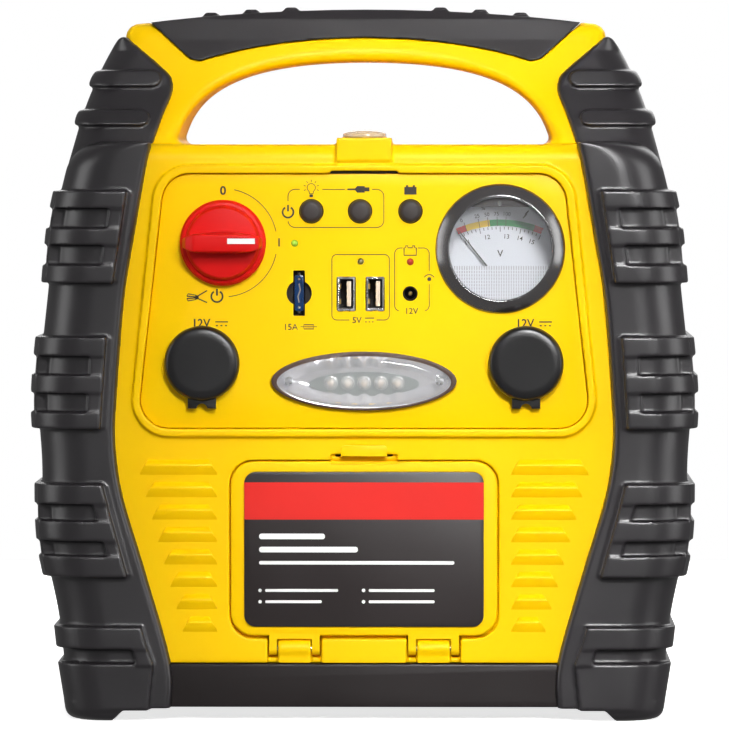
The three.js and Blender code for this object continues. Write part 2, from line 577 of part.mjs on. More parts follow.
// ---------------------------------------------------------------- storage compartment
const storageDoor = () => {
  let body = slab(roundedRect(-DOOR.half, DOOR.half, DOOR.bottom, DOOR.top, DOOR.corner), DOOR.front, DOOR.back);
  for (const side of [-1, 1]) {
    for (const end of [-1, 1]) {
      const middle = side * HINGE.middle + end * 9.1;
      body = body.add(bar('x', HINGE.y, HINGE.z, HINGE.knuckle, middle - 1.7, middle + 1.7, 14));
      body = body.add(block(middle - 1.7, middle + 1.7, DOOR.front, DOOR.back - 0.5, HINGE.z, DOOR.bottom + 2));
    }
    const x = side * HINGE.middle;
    body = body.subtract(bar('x', HINGE.y, HINGE.z, HINGE.pin + GAP, x - 12, x + 12, 12));
  }
  return body;
};

const doorLabel = () => slab(roundedRect(-50.9, 50.9, 40, 105.8, 4.7), DOOR.front - 1, DOOR.front - GAP, 5);

const hingePin = (side) => bar('x', HINGE.y, HINGE.z, HINGE.pin, side * HINGE.middle - 10.6, side * HINGE.middle + 10.6, 10);

const doorLatch = () => join(
  slab(roundedRect(-LATCH.half, LATCH.half, LATCH.bottom, LATCH.top, 2.2), CASE_FRONT - 2.2, CASE_FRONT - GAP, 4),
  block(-LATCH.half + 4, LATCH.half - 4, CASE_FRONT - 1, INSIDE_FRONT, LATCH.bottom + 1, LATCH.top - 1),
  block(-LATCH.half, LATCH.half, INSIDE_FRONT - 0.2, INSIDE_FRONT + 1.2, LATCH.bottom, LATCH.top + 2));

const storageBin = () => cut(
  join(block(-50.4, 50.4, INSIDE_FRONT + 4.9, -22, 42, 105), block(-58, 58, INSIDE_FRONT + 4.9, INSIDE_FRONT + 6.6, 38, 109)),
  block(-48.6, 48.6, -FAR, -23.8, 43.8, 103.2));

// ---------------------------------------------------------------- battery and boards
const battery = () => {
  const { length, width, height, front, bottom } = BATTERY;
  const half = length / 2;
  const top = bottom + height;
  let body = slab(roundedRect(-half, half, bottom, top, 3), front, front + width, 3);
  for (const side of [-1, 1]) {
    const x = side * (half - 14);
    body = body.add(block(x - 6, x + 6, front + 8, front + 20, top - 1, top + 4));
  }
  return body;
};

const batteryStrap = () => {
  const { width, height, front, bottom } = BATTERY;
  const top = bottom + height + GAP;
  return join(block(-12, 12, front - 1.8, front + width + 1.8, top, top + 1.5),
    block(-12, 12, front - 1.8, front - GAP, top - 30, top + 0.5),
    block(-12, 12, front + width + GAP, front + width + 1.8, top - 30, top + 0.5));
};

const mainBoard = () => {
  const rear = INSIDE_REAR - 2;
  return join(block(20, 86, rear - 1.6, rear, 70, 190),
    block(30, 48, rear - 6, rear - 1, 90, 112), block(56, 76, rear - 5, rear - 1, 92, 120),
    bar('y', 40, 150, 5, rear - 6.5, rear - 1, 10), bar('y', 62, 150, 5, rear - 6.5, rear - 1, 10));
};

// ---------------------------------------------------------------- compressor
const gearShape = (teeth, module) => {
  const pitch = teeth * module / 2;
  const outer = pitch + module;
  const root = pitch - 1.25 * module;
  const step = Math.PI * 2 / teeth;
  const points = [];
  for (let tooth = 0; tooth < teeth; tooth += 1) {
    const middle = tooth * step;
    points.push([root, middle - step * 0.3], [outer, middle - step * 0.11], [outer, middle + step * 0.11], [root, middle + step * 0.3]);
  }
  return points;
};

// A toothed wheel about an axis along X; phase turns it so that its teeth enter its mate's gaps.
const toothedWheel = (teeth, y, z, phase, x0, x1) => {
  const points = gearShape(teeth, GEARS.module)
    .map(([radius, angle]) => [y + radius * Math.cos(angle + phase), z + radius * Math.sin(angle + phase)]);
  return slice(outline(points), x0, x1);
};

const CENTRES = GEARS.module * (GEARS.crankTeeth + GEARS.pinionTeeth) / 2 + 0.35;
const MOTOR_Y = GEARS.crankY + CENTRES;

const compressorMotor = () => cut(join(
  bar('x', MOTOR_Y, GEARS.z, 17.5, -52, 1, 18),
  bar('x', MOTOR_Y, GEARS.z, 6, 0, 3.5, 14),
  bar('x', MOTOR_Y, GEARS.z, 6, -56, -51, 14)),
bar('x', MOTOR_Y, GEARS.z, 1.8, -4, FAR, 10));

const motorPinion = () => join(
  toothedWheel(GEARS.pinionTeeth, MOTOR_Y, GEARS.z, Math.PI, GEARS.x, GEARS.x + GEARS.face),
  bar('x', MOTOR_Y, GEARS.z, 1.5, -3.5, GEARS.x + 1, 10));

const crankGear = () => join(
  toothedWheel(GEARS.crankTeeth, GEARS.crankY, GEARS.z, Math.PI / GEARS.crankTeeth, GEARS.x, GEARS.x + GEARS.face),
  bar('x', GEARS.crankY, GEARS.z, 11.5, GEARS.x + GEARS.face - 0.5, GEARS.x + GEARS.face + 2, 16),
  bar('x', GEARS.crankY - GEARS.throw, GEARS.z, 2.5, GEARS.x + GEARS.face, GEARS.x + GEARS.face + 5.4, 10),
  bar('x', GEARS.crankY, GEARS.z, 2.5, GEARS.x - 6, GEARS.x + 1, 10));

const pistonRod = () => {
  const x0 = GEARS.x + GEARS.face + 5.8;
  const eye = GEARS.crankY - GEARS.throw;
  return join(cut(bar('x', eye, GEARS.z, 5, x0, x0 + 5, 14), bar('x', eye, GEARS.z, 2.6, -FAR, FAR, 10)),
    block(x0, x0 + 5, PUMP.front + 12, eye - 3.4, GEARS.z - 2.5, GEARS.z + 2.5),
    bar('y', PUMP.x, GEARS.z, 8.4, PUMP.front + 6, PUMP.front + 13, 16));
};

// The pump is one casting: its finned cylinder, and the arm that carries the crank's shaft.
const pumpBody = () => {
  const { x, radius, front, back } = PUMP;
  const { crankY, z } = GEARS;
  const armX = GEARS.x - 5.6;
  let cylinder = bar('y', x, z, radius, front, back, 16);
  for (let fin = 0; fin < 3; fin += 1) {
    const y = front + 5 + fin * 6;
    cylinder = cylinder.add(bar('y', x, z, radius + 2.4, y, y + 2, 16));
  }
  const arm = join(block(armX, armX + 2.6, back - 6, crankY + 5, z - 10, z + 8),
    block(armX, x, back - 6, back, z - 10, z));
  const bored = cut(join(cylinder, arm),
    bar('y', x, z, 8.8, front + 3, FAR, 16), bar('x', crankY, z, 2.5 + GAP, -FAR, x - 10, 12));
  return join(bored, bar('y', x, z, 3, front - 5, front + 1, 10));
};

// ---------------------------------------------------------------- pressure gauge
const gaugeBody = () => cut(
  join(bar('z', 0, GAUGE.y, 8.2, 229, 248.2, 20), bar('z', 0, GAUGE.y, GAUGE.radius, 248.1, 249.6, 20),
    bar('z', 0, GAUGE.y, 2.6, 222, 230, 10)),
  bar('z', 0, GAUGE.y, 7.4, 245, FAR, 20));

const gaugeNeedle = () => join(
  outlineNeedle(), bar('z', 0, GAUGE.y, 1.3, 245.4, 247.2, 10));

const outlineNeedle = () => {
  const angle = THREE.MathUtils.degToRad(225);
  const along = (reach, across) => new THREE.Vector2(
    Math.cos(angle) * reach - Math.sin(angle) * across,
    GAUGE.y + Math.sin(angle) * reach + Math.cos(angle) * across);
  const shape = new THREE.Shape([along(-2.6, -0.5), along(6.4, -0.2), along(6.4, 0.2), along(-2.6, 0.5)]);
  const blade = new THREE.ExtrudeGeometry(shape, { depth: 0.5, bevelEnabled: false });
  return solid(blade.translate(0, 0, 246));
};

const gaugeLens = () => {
  const base = 247.9;
  const profile = [[0, base - 0.2], [7.1, base - 0.2], [7.1, 249.7], [8.9, 249.9], [8.2, 250.5], [5, 251], [0, GAUGE.top]];
  const ring = new THREE.LatheGeometry(profile.map(([r, z]) => new THREE.Vector2(r, z)), 32);
  return solid(ring.rotateX(Math.PI / 2).translate(0, GAUGE.y, 0));
};

// ---------------------------------------------------------------- rear fittings
// One gland for both jump leads, with a passage for each.
const leadGland = () => cut(join(
  slab(roundedRect(-16, 16, 38.5, 53.5, 7), CASE_REAR - 8, CASE_REAR + 1, 5),
  slab(roundedRect(-19, 19, 35.5, 56.5, 9), CASE_REAR + GAP, CASE_REAR + 4, 5)),
bar('y', -7.5, 46, 4.4, -FAR, FAR, 12), bar('y', 7.5, 46, 4.4, -FAR, FAR, 12));

const hoseOutlet = () => cut(join(
  bar('y', 62, 214, 6, CASE_REAR - 10, CASE_REAR + 1, 14),
  bar('y', 62, 214, 8.5, CASE_REAR + GAP, CASE_REAR + 2.5, 6),
  bar('y', 62, 214, 4.2, CASE_REAR + 2, CASE_REAR + 7, 12)),
bar('y', 62, 214, 2.2, -FAR, FAR, 10));

const ROCKER = { x: -65, z: 214, y: CASE_REAR - 1.5 };
const rockerFrame = () => cut(join(
  block(ROCKER.x - 13, ROCKER.x + 13, CASE_REAR + GAP, CASE_REAR + 1.6, ROCKER.z - 9.5, ROCKER.z + 9.5),
  block(ROCKER.x - 11, ROCKER.x + 11, CASE_REAR - 14, CASE_REAR + 1, ROCKER.z - 7.5, ROCKER.z + 7.5)),
block(ROCKER.x - 9.6, ROCKER.x + 9.6, CASE_REAR - 11, FAR, ROCKER.z - 6.2, ROCKER.z + 6.2));

// The rocker tips about an axis along Z, so that one end of its face or the other stands out.
const rocker = () => {
  const { x, y, z } = ROCKER;
  const tilt = THREE.MathUtils.degToRad(9);
  const points = [[-9, 2], [-9, 5.6], [0, 3.4], [9, 5.6], [9, 2], [4, -4.5], [-4, -4.5]];
  const shape = outline(points.map(([u, v]) => [
    x + u * Math.cos(tilt) - v * Math.sin(tilt), y + u * Math.sin(tilt) + v * Math.cos(tilt)]));
  const prism = new THREE.ExtrudeGeometry(shape, { depth: 11.6, bevelEnabled: false });
  return solid(prism.translate(0, 0, z - 5.8));
};

const caseScrew = ([x, z]) => cut(join(
  bar('y', x, z, 3.3, CASE_REAR - 5.6, CASE_REAR - 2.6, 10),
  bar('y', x, z, 1.5, MID + 24, CASE_REAR - 5, 10)),
block(x - 0.6, x + 0.6, CASE_REAR - 4, FAR, z - 2.4, z + 2.4));

// ---------------------------------------------------------------- colours
const paint = (color, roughness, metalness = 0) => new THREE.MeshStandardMaterial({ color, roughness, metalness });
const YELLOW = () => paint(0xffd900, 0.38);
const RUBBER_BLACK = () => paint(0x2f2d30, 0.72);
const BLACK_PLASTIC = () => paint(0x1c1b1d, 0.45);
const GREY_BUTTON = () => paint(0x3f4447, 0.55);
const RED = () => paint(0xe3121f, 0.35);
const WHITE = () => paint(0xf4f4f0, 0.5);
const STEEL = () => paint(0xb9bcc0, 0.3, 1);
const BRASS = () => paint(0xb98f45, 0.35, 1);
const CLEAR = () => paint(0xdfeaf0, 0.05);
const BOARD = () => paint(0x1f6b3a, 0.6);
const CHROME = () => paint(0xd9dcdf, 0.12, 1);

// ---------------------------------------------------------------- assembly
const group = new THREE.Group();
const place = (name, body, material) => {
  const mesh = new THREE.Mesh(geometryOf(body), material);
  mesh.name = name;
  group.add(mesh);
};

const { front, rear } = caseHalves();
const rightBumper = bumper();
place('front_case', frontCase(front), YELLOW());
place('rear_case', rearCase(rear), YELLOW());
place('right_bumper', rightBumper, RUBBER_BLACK());
place('left_bumper', mirrorX(rightBumper), RUBBER_BLACK());
place('base_tray', baseTray(), BLACK_PLASTIC());
place('grip_pad', gripPad(), RUBBER_BLACK());
place('control_panel', controlPanel(), YELLOW());
place('mode_knob', modeKnob(), RED());
place('mode_switch', modeSwitch(), BLACK_PLASTIC());
for (const [name, x] of Object.entries(BUTTONS)) place(name, pushButton(x), GREY_BUTTON());
place('button_board', buttonBoard(), BOARD());
place('blade_fuse', bladeFuse(), paint(0x2f8fd0, 0.25));
place('fuse_holder', fuseHolder(), BLACK_PLASTIC());
for (const [name, x] of Object.entries(USB)) place(name, usbSocket(x), STEEL());
place('charge_jack', chargeJack(), BLACK_PLASTIC());
for (const [name, spec] of Object.entries(LEDS)) {
  place(name, panelLed(spec), paint(name === 'charge_led' ? 0xd01818 : 0x8fd070, 0.2));
}
place('voltmeter_bezel', meterBezel(), BLACK_PLASTIC());
place('voltmeter_lens', meterLens(), CLEAR());
place('voltmeter_case', meterCase(), BLACK_PLASTIC());
place('voltmeter_dial', meterDial(), WHITE());
place('voltmeter_needle', meterNeedle(), BLACK_PLASTIC());
place('voltmeter_shroud', meterShroud(), WHITE());
for (const [name, side] of [['left', -1], ['right', 1]]) {
  place(`socket_${name}`, powerSocket(side * SOCKET.x), BLACK_PLASTIC());
  place(`socket_cap_${name}`, socketCap(side * SOCKET.x), RUBBER_BLACK());
  place(`lamp_screw_${name}`, lampScrew(side * LAMP.screwX), STEEL());
  place(`door_pin_${name}`, hingePin(side), STEEL());
}
place('lamp_reflector', lampReflector(), CHROME());
place('lamp_lens', lampLens(), CLEAR());
place('lamp_board', lampBoard(), WHITE());
place('storage_door', storageDoor(), YELLOW());
place('door_label', doorLabel(), BLACK_PLASTIC());
place('door_latch', doorLatch(), YELLOW());
place('storage_bin', storageBin(), BLACK_PLASTIC());
place('battery', battery(), paint(0x2b2e33, 0.5));
place('battery_strap', batteryStrap(), STEEL());
place('main_board', mainBoard(), BOARD());
place('compressor_motor', compressorMotor(), STEEL());
place('motor_pinion', motorPinion(), BRASS());
place('crank_gear', crankGear(), WHITE());
place('piston_rod', pistonRod(), paint(0x9a9da2, 0.4, 1));
place('pump_body', pumpBody(), paint(0xa8abb0, 0.45, 1));
place('gauge_body', gaugeBody(), BRASS());
place('gauge_needle', gaugeNeedle(), BLACK_PLASTIC());
place('gauge_lens', gaugeLens(), CLEAR());
place('lead_gland', leadGland(), BLACK_PLASTIC());
place('hose_outlet', hoseOutlet(), BRASS());
place('compressor_switch', rockerFrame(), BLACK_PLASTIC());
place('compressor_rocker', rocker(), BLACK_PLASTIC());
SCREWS.forEach((spot, index) => place(`case_screw_${index + 1}`, caseScrew(spot), STEEL()));

export default group;
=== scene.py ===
"""Looks of the jump starter pack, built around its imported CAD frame.

Lengths are in millimetres here and become metres when a piece is finished.
The front faces -Y, +X is to the right seen from the front and +Z is up.
"""
import math

import bmesh
import bpy
from mathutils import Matrix, Vector


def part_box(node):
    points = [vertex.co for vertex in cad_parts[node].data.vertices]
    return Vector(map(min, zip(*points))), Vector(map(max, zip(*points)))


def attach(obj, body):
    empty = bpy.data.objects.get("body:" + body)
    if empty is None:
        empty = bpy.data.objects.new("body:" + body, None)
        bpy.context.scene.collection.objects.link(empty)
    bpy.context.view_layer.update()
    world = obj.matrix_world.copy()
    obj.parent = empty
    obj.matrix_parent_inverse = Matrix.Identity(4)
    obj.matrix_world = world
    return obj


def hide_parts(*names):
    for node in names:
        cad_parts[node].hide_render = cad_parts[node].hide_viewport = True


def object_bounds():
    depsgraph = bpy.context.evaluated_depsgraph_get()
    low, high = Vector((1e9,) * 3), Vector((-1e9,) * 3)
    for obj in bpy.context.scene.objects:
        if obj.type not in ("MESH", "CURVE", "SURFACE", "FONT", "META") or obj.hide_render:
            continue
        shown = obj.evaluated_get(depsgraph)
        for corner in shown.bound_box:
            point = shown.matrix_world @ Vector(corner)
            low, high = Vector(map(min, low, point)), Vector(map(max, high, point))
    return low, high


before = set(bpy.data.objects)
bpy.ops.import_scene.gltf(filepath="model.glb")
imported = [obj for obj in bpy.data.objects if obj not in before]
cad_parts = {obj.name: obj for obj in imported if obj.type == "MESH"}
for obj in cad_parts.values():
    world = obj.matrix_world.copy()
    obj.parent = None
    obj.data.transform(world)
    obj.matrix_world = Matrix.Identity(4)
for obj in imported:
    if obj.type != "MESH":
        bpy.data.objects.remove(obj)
CAD_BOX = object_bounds()
MM = 0.001


# ------------------------------------------------------------------ places read from the frame
def box_mm(node):
    """The low and high corners of a CAD node, in millimetres."""
    low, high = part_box(node)
    return [value / MM for value in low], [value / MM for value in high]


def centre(node):
    low, high = box_mm(node)
    return [(a + b) / 2 for a, b in zip(low, high)]


def merged_box(*nodes):
    """The box round several nodes."""
    boxes = [box_mm(node) for node in nodes]
    low = [min(box[0][axis] for box in boxes) for axis in range(3)]
    high = [max(box[1][axis] for box in boxes) for axis in range(3)]
    return low, high


PANEL_LOW, PANEL_HIGH = box_mm("control_panel")
PANEL_FACE = PANEL_LOW[1]
CASE_LOW, CASE_HIGH = merged_box("front_case", "rear_case")
CASE_FRONT = PANEL_FACE + 0.2
CASE_REAR = CASE_HIGH[1]
MID = (CASE_FRONT + CASE_REAR) / 2
CASE_HALF = (CASE_REAR - CASE_FRONT) / 2
RIB_HALF = merged_box("left_bumper", "right_bumper")[1][1] - MID
BUMPER_HALF = RIB_HALF - 4.5
BODY_TOP = 245
CASE_BOTTOM = CASE_LOW[2]
RUBBER = 7.3
WALL = 3
FAR = 400
# The pack's right side and the inner edge of its bumper's face, as (x, height).
SIDE_POINTS = [(127, 5.2), (130.5, 42), (137, 76), (138, 110), (139.3, 140), (135, 185),
               (132, 214), (124.7, 245), (118.6, 266), (109.6, 286), (101.2, 296)]
FACE_EDGE = [(82, 5.2), (82, 24.4), (93.9, 66.7), (102.6, 96), (105.6, 118), (105, 138),
             (101.8, 179), (97.3, 207), (91.4, 240), (86.3, 257), (82.6, 267), (82.8, 272.5),
             (86, 277), (103.2, 291.6)]


# The handle's arched top: its height in the middle, and how far it drops at that reach from there.
HANDLE_TOP = 303.2
HANDLE_DROP = 6
HANDLE_REACH = 96
# Half of the handle's depth, as (height, depth).
HANDLE_DEPTH = [(236, 54), (252, 45), (270, 32), (290, 21), (298, 17.5)]


# ------------------------------------------------------------------ outlines
def spline(points, steps=6):
    """A smooth line through the points (uniform Catmull-Rom)."""
    line = []
    for index in range(len(points) - 1):
        before = points[max(index - 1, 0)]
        start = points[index]
        end = points[index + 1]
        after = points[min(index + 2, len(points) - 1)]
        for step in range(steps):
            t = step / steps
            line.append(tuple(
                0.5 * (2 * b + (c - a) * t + (2 * a - 5 * b + 4 * c - d) * t * t
                       + (3 * b - a - 3 * c + d) * t ** 3)
                for a, b, c, d in zip(before, start, end, after)))
    line.append(tuple(points[-1]))
    return line


def rounded(corners, steps=6):
    """A closed outline from (u, v, radius) corners, each corner turned by an arc of its radius."""
    outline = []
    count = len(corners)
    for index, (u, v, radius) in enumerate(corners):
        here = Vector((u, v))
        before = (Vector(corners[index - 1][:2]) - here)
        after = (Vector(corners[(index + 1) % count][:2]) - here)
        if radius <= 0 or before.length < 1e-6 or after.length < 1e-6:
            outline.append((u, v))
            continue
        angle = before.angle(after)
        reach = radius / math.tan(angle / 2)
        limit = 0.49 * min(before.length, after.length)
        if reach > limit:
            radius *= limit / reach
            reach = limit
        start = here + before.normalized() * reach
        end = here + after.normalized() * reach
        middle = here + (before.normalized() + after.normalized()).normalized() * (
            radius / math.sin(angle / 2))
        a0 = math.atan2(start.y - middle.y, start.x - middle.x)
        a1 = math.atan2(end.y - middle.y, end.x - middle.x)
        turn = (a1 - a0 + math.pi) % (2 * math.pi) - math.pi
        for step in range(steps + 1):
            a = a0 + turn * step / steps
            outline.append((middle.x + radius * math.cos(a), middle.y + radius * math.sin(a)))
    return outline


def between(points, value):
    """Straight-line reading of a table of (value, result) pairs."""
    for (a, fa), (b, fb) in zip(points, points[1:]):
        if a <= value <= b:
            return fa + (fb - fa) * (value - a) / (b - a)
    return points[0][1] if value < points[0][0] else points[-1][1]


def rounded_in(z, middle, radius):
    """How far a round end of that radius draws in at height z from the height of its middle."""
    reach = min(abs(z - middle), radius)
    return radius - math.sqrt(radius * radius - reach * reach)


def rect(u0, u1, v0, v1, radius=0.0, steps=6):
    """A rectangle, its corners rounded where a radius is given."""
    return rounded([(u0, v0, radius), (u1, v0, radius), (u1, v1, radius), (u0, v1, radius)], steps)


def disc(u, v, radius, steps=48):
    return [(u + radius * math.cos(2 * math.pi * k / steps),
             v + radius * math.sin(2 * math.pi * k / steps)) for k in range(steps)]


def mirrored(line):
    """A line on the right side, closed by its mirror image on the left."""
    return list(line) + [(-u, v) for u, v in reversed(line)]


SIDE_LINE = spline(SIDE_POINTS, 8)
EDGE_LINE = spline(FACE_EDGE, 5)


def half_width(z):
    """Half of the pack's width over the bumpers at a height."""
    return between([(height, x) for x, height in SIDE_LINE], z)


def side_line(inset, low, high):
    """The pack's side between two heights, moved inwards by the inset."""
    inner = [(x, z) for x, z in SIDE_LINE if low + 0.5 < z < high - 0.5]
    line = [(half_width(low), low)] + inner + [(half_width(high), high)]
    return [(x - inset, z) for x, z in line]


def top_arc(x):
    """The height of the handle's arched top."""
    return HANDLE_TOP - HANDLE_DROP * (x / HANDLE_REACH) ** 2


def handle_profile(extra, rise=None):
    """Side view of the handle; rise moves its top, and follows extra when it isn't given."""
    if rise is None:
        rise = extra
    line = spline([(y + extra, z) for z, y in HANDLE_DEPTH[:-1]], 6)
    z, y = HANDLE_DEPTH[-1]
    line += [(y + extra, z + rise), (11 + min(extra, 0), 304 + rise)]
    return [(MID + y, z) for y, z in line] + [(MID - y, z) for y, z in reversed(line)]


def body_profile(extra):
    """Side view of the body below the handle."""
    depth = CASE_HALF + extra
    low, high = CASE_BOTTOM - extra, BODY_TOP + extra
    return rounded([(MID - depth, low, 0.6), (MID + depth, low, 0.6), (MID + depth, high, 7),
                    (MID - depth, high, 7)], 14)


def bezier(a, b, c, d, steps=20):
    """Points on a cubic curve with two ends and two handles."""
    line = []
    for step in range(steps + 1):
        t = step / steps
        s = 1 - t
        line.append(tuple(s ** 3 * p + 3 * s * s * t * q + 3 * s * t * t * r + t ** 3 * w
                          for p, q, r, w in zip(a, b, c, d)))
    return line


def handle_hole(extra=0.0):
    """The opening between the body and the handle; extra makes it smaller."""
    half = 80.4 - extra
    crown = 280.6 - extra
    corner = rounded([(0, BODY_TOP, 0), (half, BODY_TOP, 3), (half - 2, BODY_TOP + 9, 0)], 5)[1:-1]
    arch = bezier((half, BODY_TOP), (76 - extra, 266), (58, crown), (0, crown), 24)
    return mirrored(corner + [(x, z) for x, z in arch if z > BODY_TOP + 4])


def panel_outline(extra):
    """The control panel seen from the front, made larger all round by extra."""
    low, high = PANEL_LOW[2] - extra, PANEL_HIGH[2] + extra
    wide = PANEL_HIGH[0] + 0.6 + extra
    narrow = 84.5 + extra
    radius = 12 + extra
    return rounded([(-wide, low, radius), (wide, low, radius), (narrow, high, radius),
                    (-narrow, high, radius)], 10)


LAMP_LOW, LAMP_HIGH = box_mm("lamp_reflector")
LAMP_Z = (LAMP_LOW[2] + LAMP_HIGH[2]) / 2


def lamp_outline(extra, steps=14):
    """The lamp seen from the front, an oval made larger by extra."""
    wide = LAMP_HIGH[0] + extra * 1.6
    tall = (LAMP_HIGH[2] - LAMP_LOW[2]) / 2 + extra
    quarter = bezier((wide, 0), (wide, tall * 0.48), (wide * 0.58, tall), (0, tall), steps)
    upper = quarter + [(-x, z) for x, z in reversed(quarter[:-1])]
    lower = [(-x, -z) for x, z in upper[1:-1]]
    return [(x, LAMP_Z + z) for x, z in upper + lower]


# ------------------------------------------------------------------ solids
def new_object(name, mesh):
    obj = bpy.data.objects.new(name, mesh)
    bpy.context.collection.objects.link(obj)
    return obj


def from_bmesh(name, bm):
    bmesh.ops.recalc_face_normals(bm, faces=bm.faces)
    mesh = bpy.data.meshes.new(name)
    bm.to_mesh(mesh)
    bm.free()
    return new_object(name, mesh)


def clean(outline):
    """The outline without points that lie on each other."""
    kept = []
    for point in outline:
        if not kept or (Vector(point) - Vector(kept[-1])).length > 1e-4:
            kept.append(point)
    if (Vector(kept[0]) - Vector(kept[-1])).length < 1e-4:
        kept.pop()
    return kept


def wall(bm, ring, ahead):
    """Faces from one closed ring of points to the next."""
    for k in range(len(ring)):
        j = (k + 1) % len(ring)
        bm.faces.new([ring[j], ring[k], ahead[k], ahead[j]])


def prism(outline, low, high, place):
    """An outline made solid between two depths; place turns (u, v, depth) into x, y, z."""
    bm = bmesh.new()
    ring = clean(outline)
    first = [bm.verts.new(place(u, v, low)) for u, v in ring]
    last = [bm.verts.new(place(u, v, high)) for u, v in ring]
    bm.faces.new(first)
    bm.faces.new(list(reversed(last)))
    wall(bm, first, last)
    return from_bmesh("prism", bm)


def slab(outline, y0, y1):
    """A solid of the (x, z) outline, seen from the front."""
    return prism(outline, y0, y1, lambda u, v, d: (u, d, v))


def slice_x(outline, x0, x1):
    """A solid of the (y, z) outline, seen from the side."""
    return prism(outline, x0, x1, lambda u, v, d: (d, u, v))


def plate_z(outline, z0, z1):
    """A solid of the (x, y) outline, seen from above."""
    return prism(outline, z0, z1, lambda u, v, d: (u, v, d))


def block(x0, x1, y0, y1, z0, z1):
    return slab([(x0, z0), (x1, z0), (x1, z1), (x0, z1)], y0, y1)


def rod(x, z, radius, y0, y1, steps=48):
    """A round bar along Y."""
    return slab(disc(x, z, radius, steps), y0, y1)


def tile(x0, x1, z0, z1, y0, y1, radius=0.0, steps=6):
    """A flat block between two depths, its corners rounded as seen from the front."""
    return slab(rect(x0, x1, z0, z1, radius, steps), y0, y1)


def turned(profile, origin, axis="y", segments=64):
    """A turned piece: profile points are (radius, position along the axis), in absolute position."""
    bm = bmesh.new()
    rings = []
    for radius, along in profile:
        if radius < 1e-5:
            rings.append([bm.verts.new((0, along, 0))])
            continue
        rings.append([bm.verts.new((radius * math.cos(2 * math.pi * k / segments), along,
                                    radius * math.sin(2 * math.pi * k / segments)))
                      for k in range(segments)])
    for ring, after in zip(rings, rings[1:]):
        for k in range(segments):
            j = (k + 1) % segments
            if len(ring) == 1 and len(after) > 1:
                bm.faces.new([ring[0], after[k], after[j]])
            elif len(after) == 1 and len(ring) > 1:
                bm.faces.new([ring[k], after[0], ring[j]])
            elif len(ring) > 1:
                bm.faces.new([ring[k], after[k], after[j], ring[j]])
    if len(rings[0]) > 1 and len(rings[-1]) > 1:
        for k in range(segments):
            j = (k + 1) % segments
            bm.faces.new([rings[-1][k], rings[0][k], rings[0][j], rings[-1][j]])
    obj = from_bmesh("turned", bm)
    if axis == "z":
        obj.data.transform(Matrix.Rotation(math.pi / 2, 4, "X"))
    if axis == "x":
        obj.data.transform(Matrix.Rotation(-math.pi / 2, 4, "Z"))
    obj.data.transform(Matrix.Translation(origin))
    return obj


def soft_turned(points, ease, origin, axis="y", segments=64):
    """A turned piece with its profile's inner corners eased by arcs; the ends stay as they are."""
    ends = (0, len(points) - 1)
    corners = [(u, v, 0 if k in ends else ease) for k, (u, v) in enumerate(points)]
    return turned(rounded(corners, 4), origin, axis, segments)


def merge(objects):
    """Several solids kept side by side in one mesh."""
    bm = bmesh.new()
    for obj in objects:
        bm.from_mesh(obj.data)
        drop(obj)
    return from_bmesh("merged", bm)


def drop(obj):
    data = obj.data
    bpy.data.objects.remove(obj)
    if data.users == 0:
        bpy.data.meshes.remove(data)


def apply_modifiers(obj):
    graph = bpy.context.evaluated_depsgraph_get()
    mesh = bpy.data.meshes.new_from_object(obj.evaluated_get(graph))
    old = obj.data
    obj.modifiers.clear()
    obj.data = mesh
    bpy.data.meshes.remove(old)
    return obj


def combine(base, operation, others):
    for other in others:
        modifier = base.modifiers.new("combine", "BOOLEAN")
        modifier.operation = operation
        modifier.solver = "MANIFOLD"
        modifier.object = other
    apply_modifiers(base)
    for other in others:
        drop(other)
    return base


def cut(base, *others):
    return combine(base, "DIFFERENCE", others)


def join(base, *others):
    return combine(base, "UNION", others)


def common(base, *others):
    return combine(base, "INTERSECT", others)


def triangulated(obj):
    """The same solid in triangles, so that slightly twisted faces are cut exactly."""
    bm = bmesh.new()
    bm.from_mesh(obj.data)
    bmesh.ops.triangulate(bm, faces=bm.faces)
    bm.to_mesh(obj.data)
    bm.free()
    return obj


def copy_of(obj):
    return new_object(obj.name, obj.data.copy())


def flip_x(obj):
    """The solid mirrored to the other side of the pack."""
    obj.data.transform(Matrix.Diagonal((-1, 1, 1, 1)))
    obj.data.flip_normals()
    return obj


def soften(obj, voxel, rounds, keep=0.3):
    """Rounds every edge of a moulded piece: a fine remesh, smoothing, then fewer faces."""
    remesh = obj.modifiers.new("remesh", "REMESH")
    remesh.mode = "VOXEL"
    remesh.voxel_size = voxel * 1
    smooth = obj.modifiers.new("smooth", "SMOOTH")
    smooth.factor = 0.5
    smooth.iterations = rounds
    thin = obj.modifiers.new("thin", "DECIMATE")
    thin.ratio = keep
    return apply_modifiers(obj)


def ease_edges(obj, width, segments=2):
    """Rounds the sharp edges by a small width."""
    bevel = obj.modifiers.new("ease", "BEVEL")
    bevel.width = width
    bevel.segments = segments
    bevel.limit_method = "ANGLE"
    bevel.angle_limit = math.radians(30)
    bevel.use_clamp_overlap = True
    return apply_modifiers(obj)


def shade(obj, angle=32):
    """Smooth faces, with sharp edges where the surface turns by more than the angle."""
    bm = bmesh.new()
    bm.from_mesh(obj.data)
    for face in bm.faces:
        face.smooth = True
    limit = math.radians(angle)
    for edge in bm.edges:
        edge.smooth = len(edge.link_faces) == 2 and edge.calc_face_angle(0) < limit
    bm.to_mesh(obj.data)
    bm.free()


# ------------------------------------------------------------------ materials
def linear(color):
    """A colour given as 0 to 255 screen values."""
    def channel(value):
        value /= 255
        return value / 12.92 if value <= 0.04045 else ((value + 0.055) / 1.055) ** 2.4
    return tuple(channel(value) for value in color) + (1,)


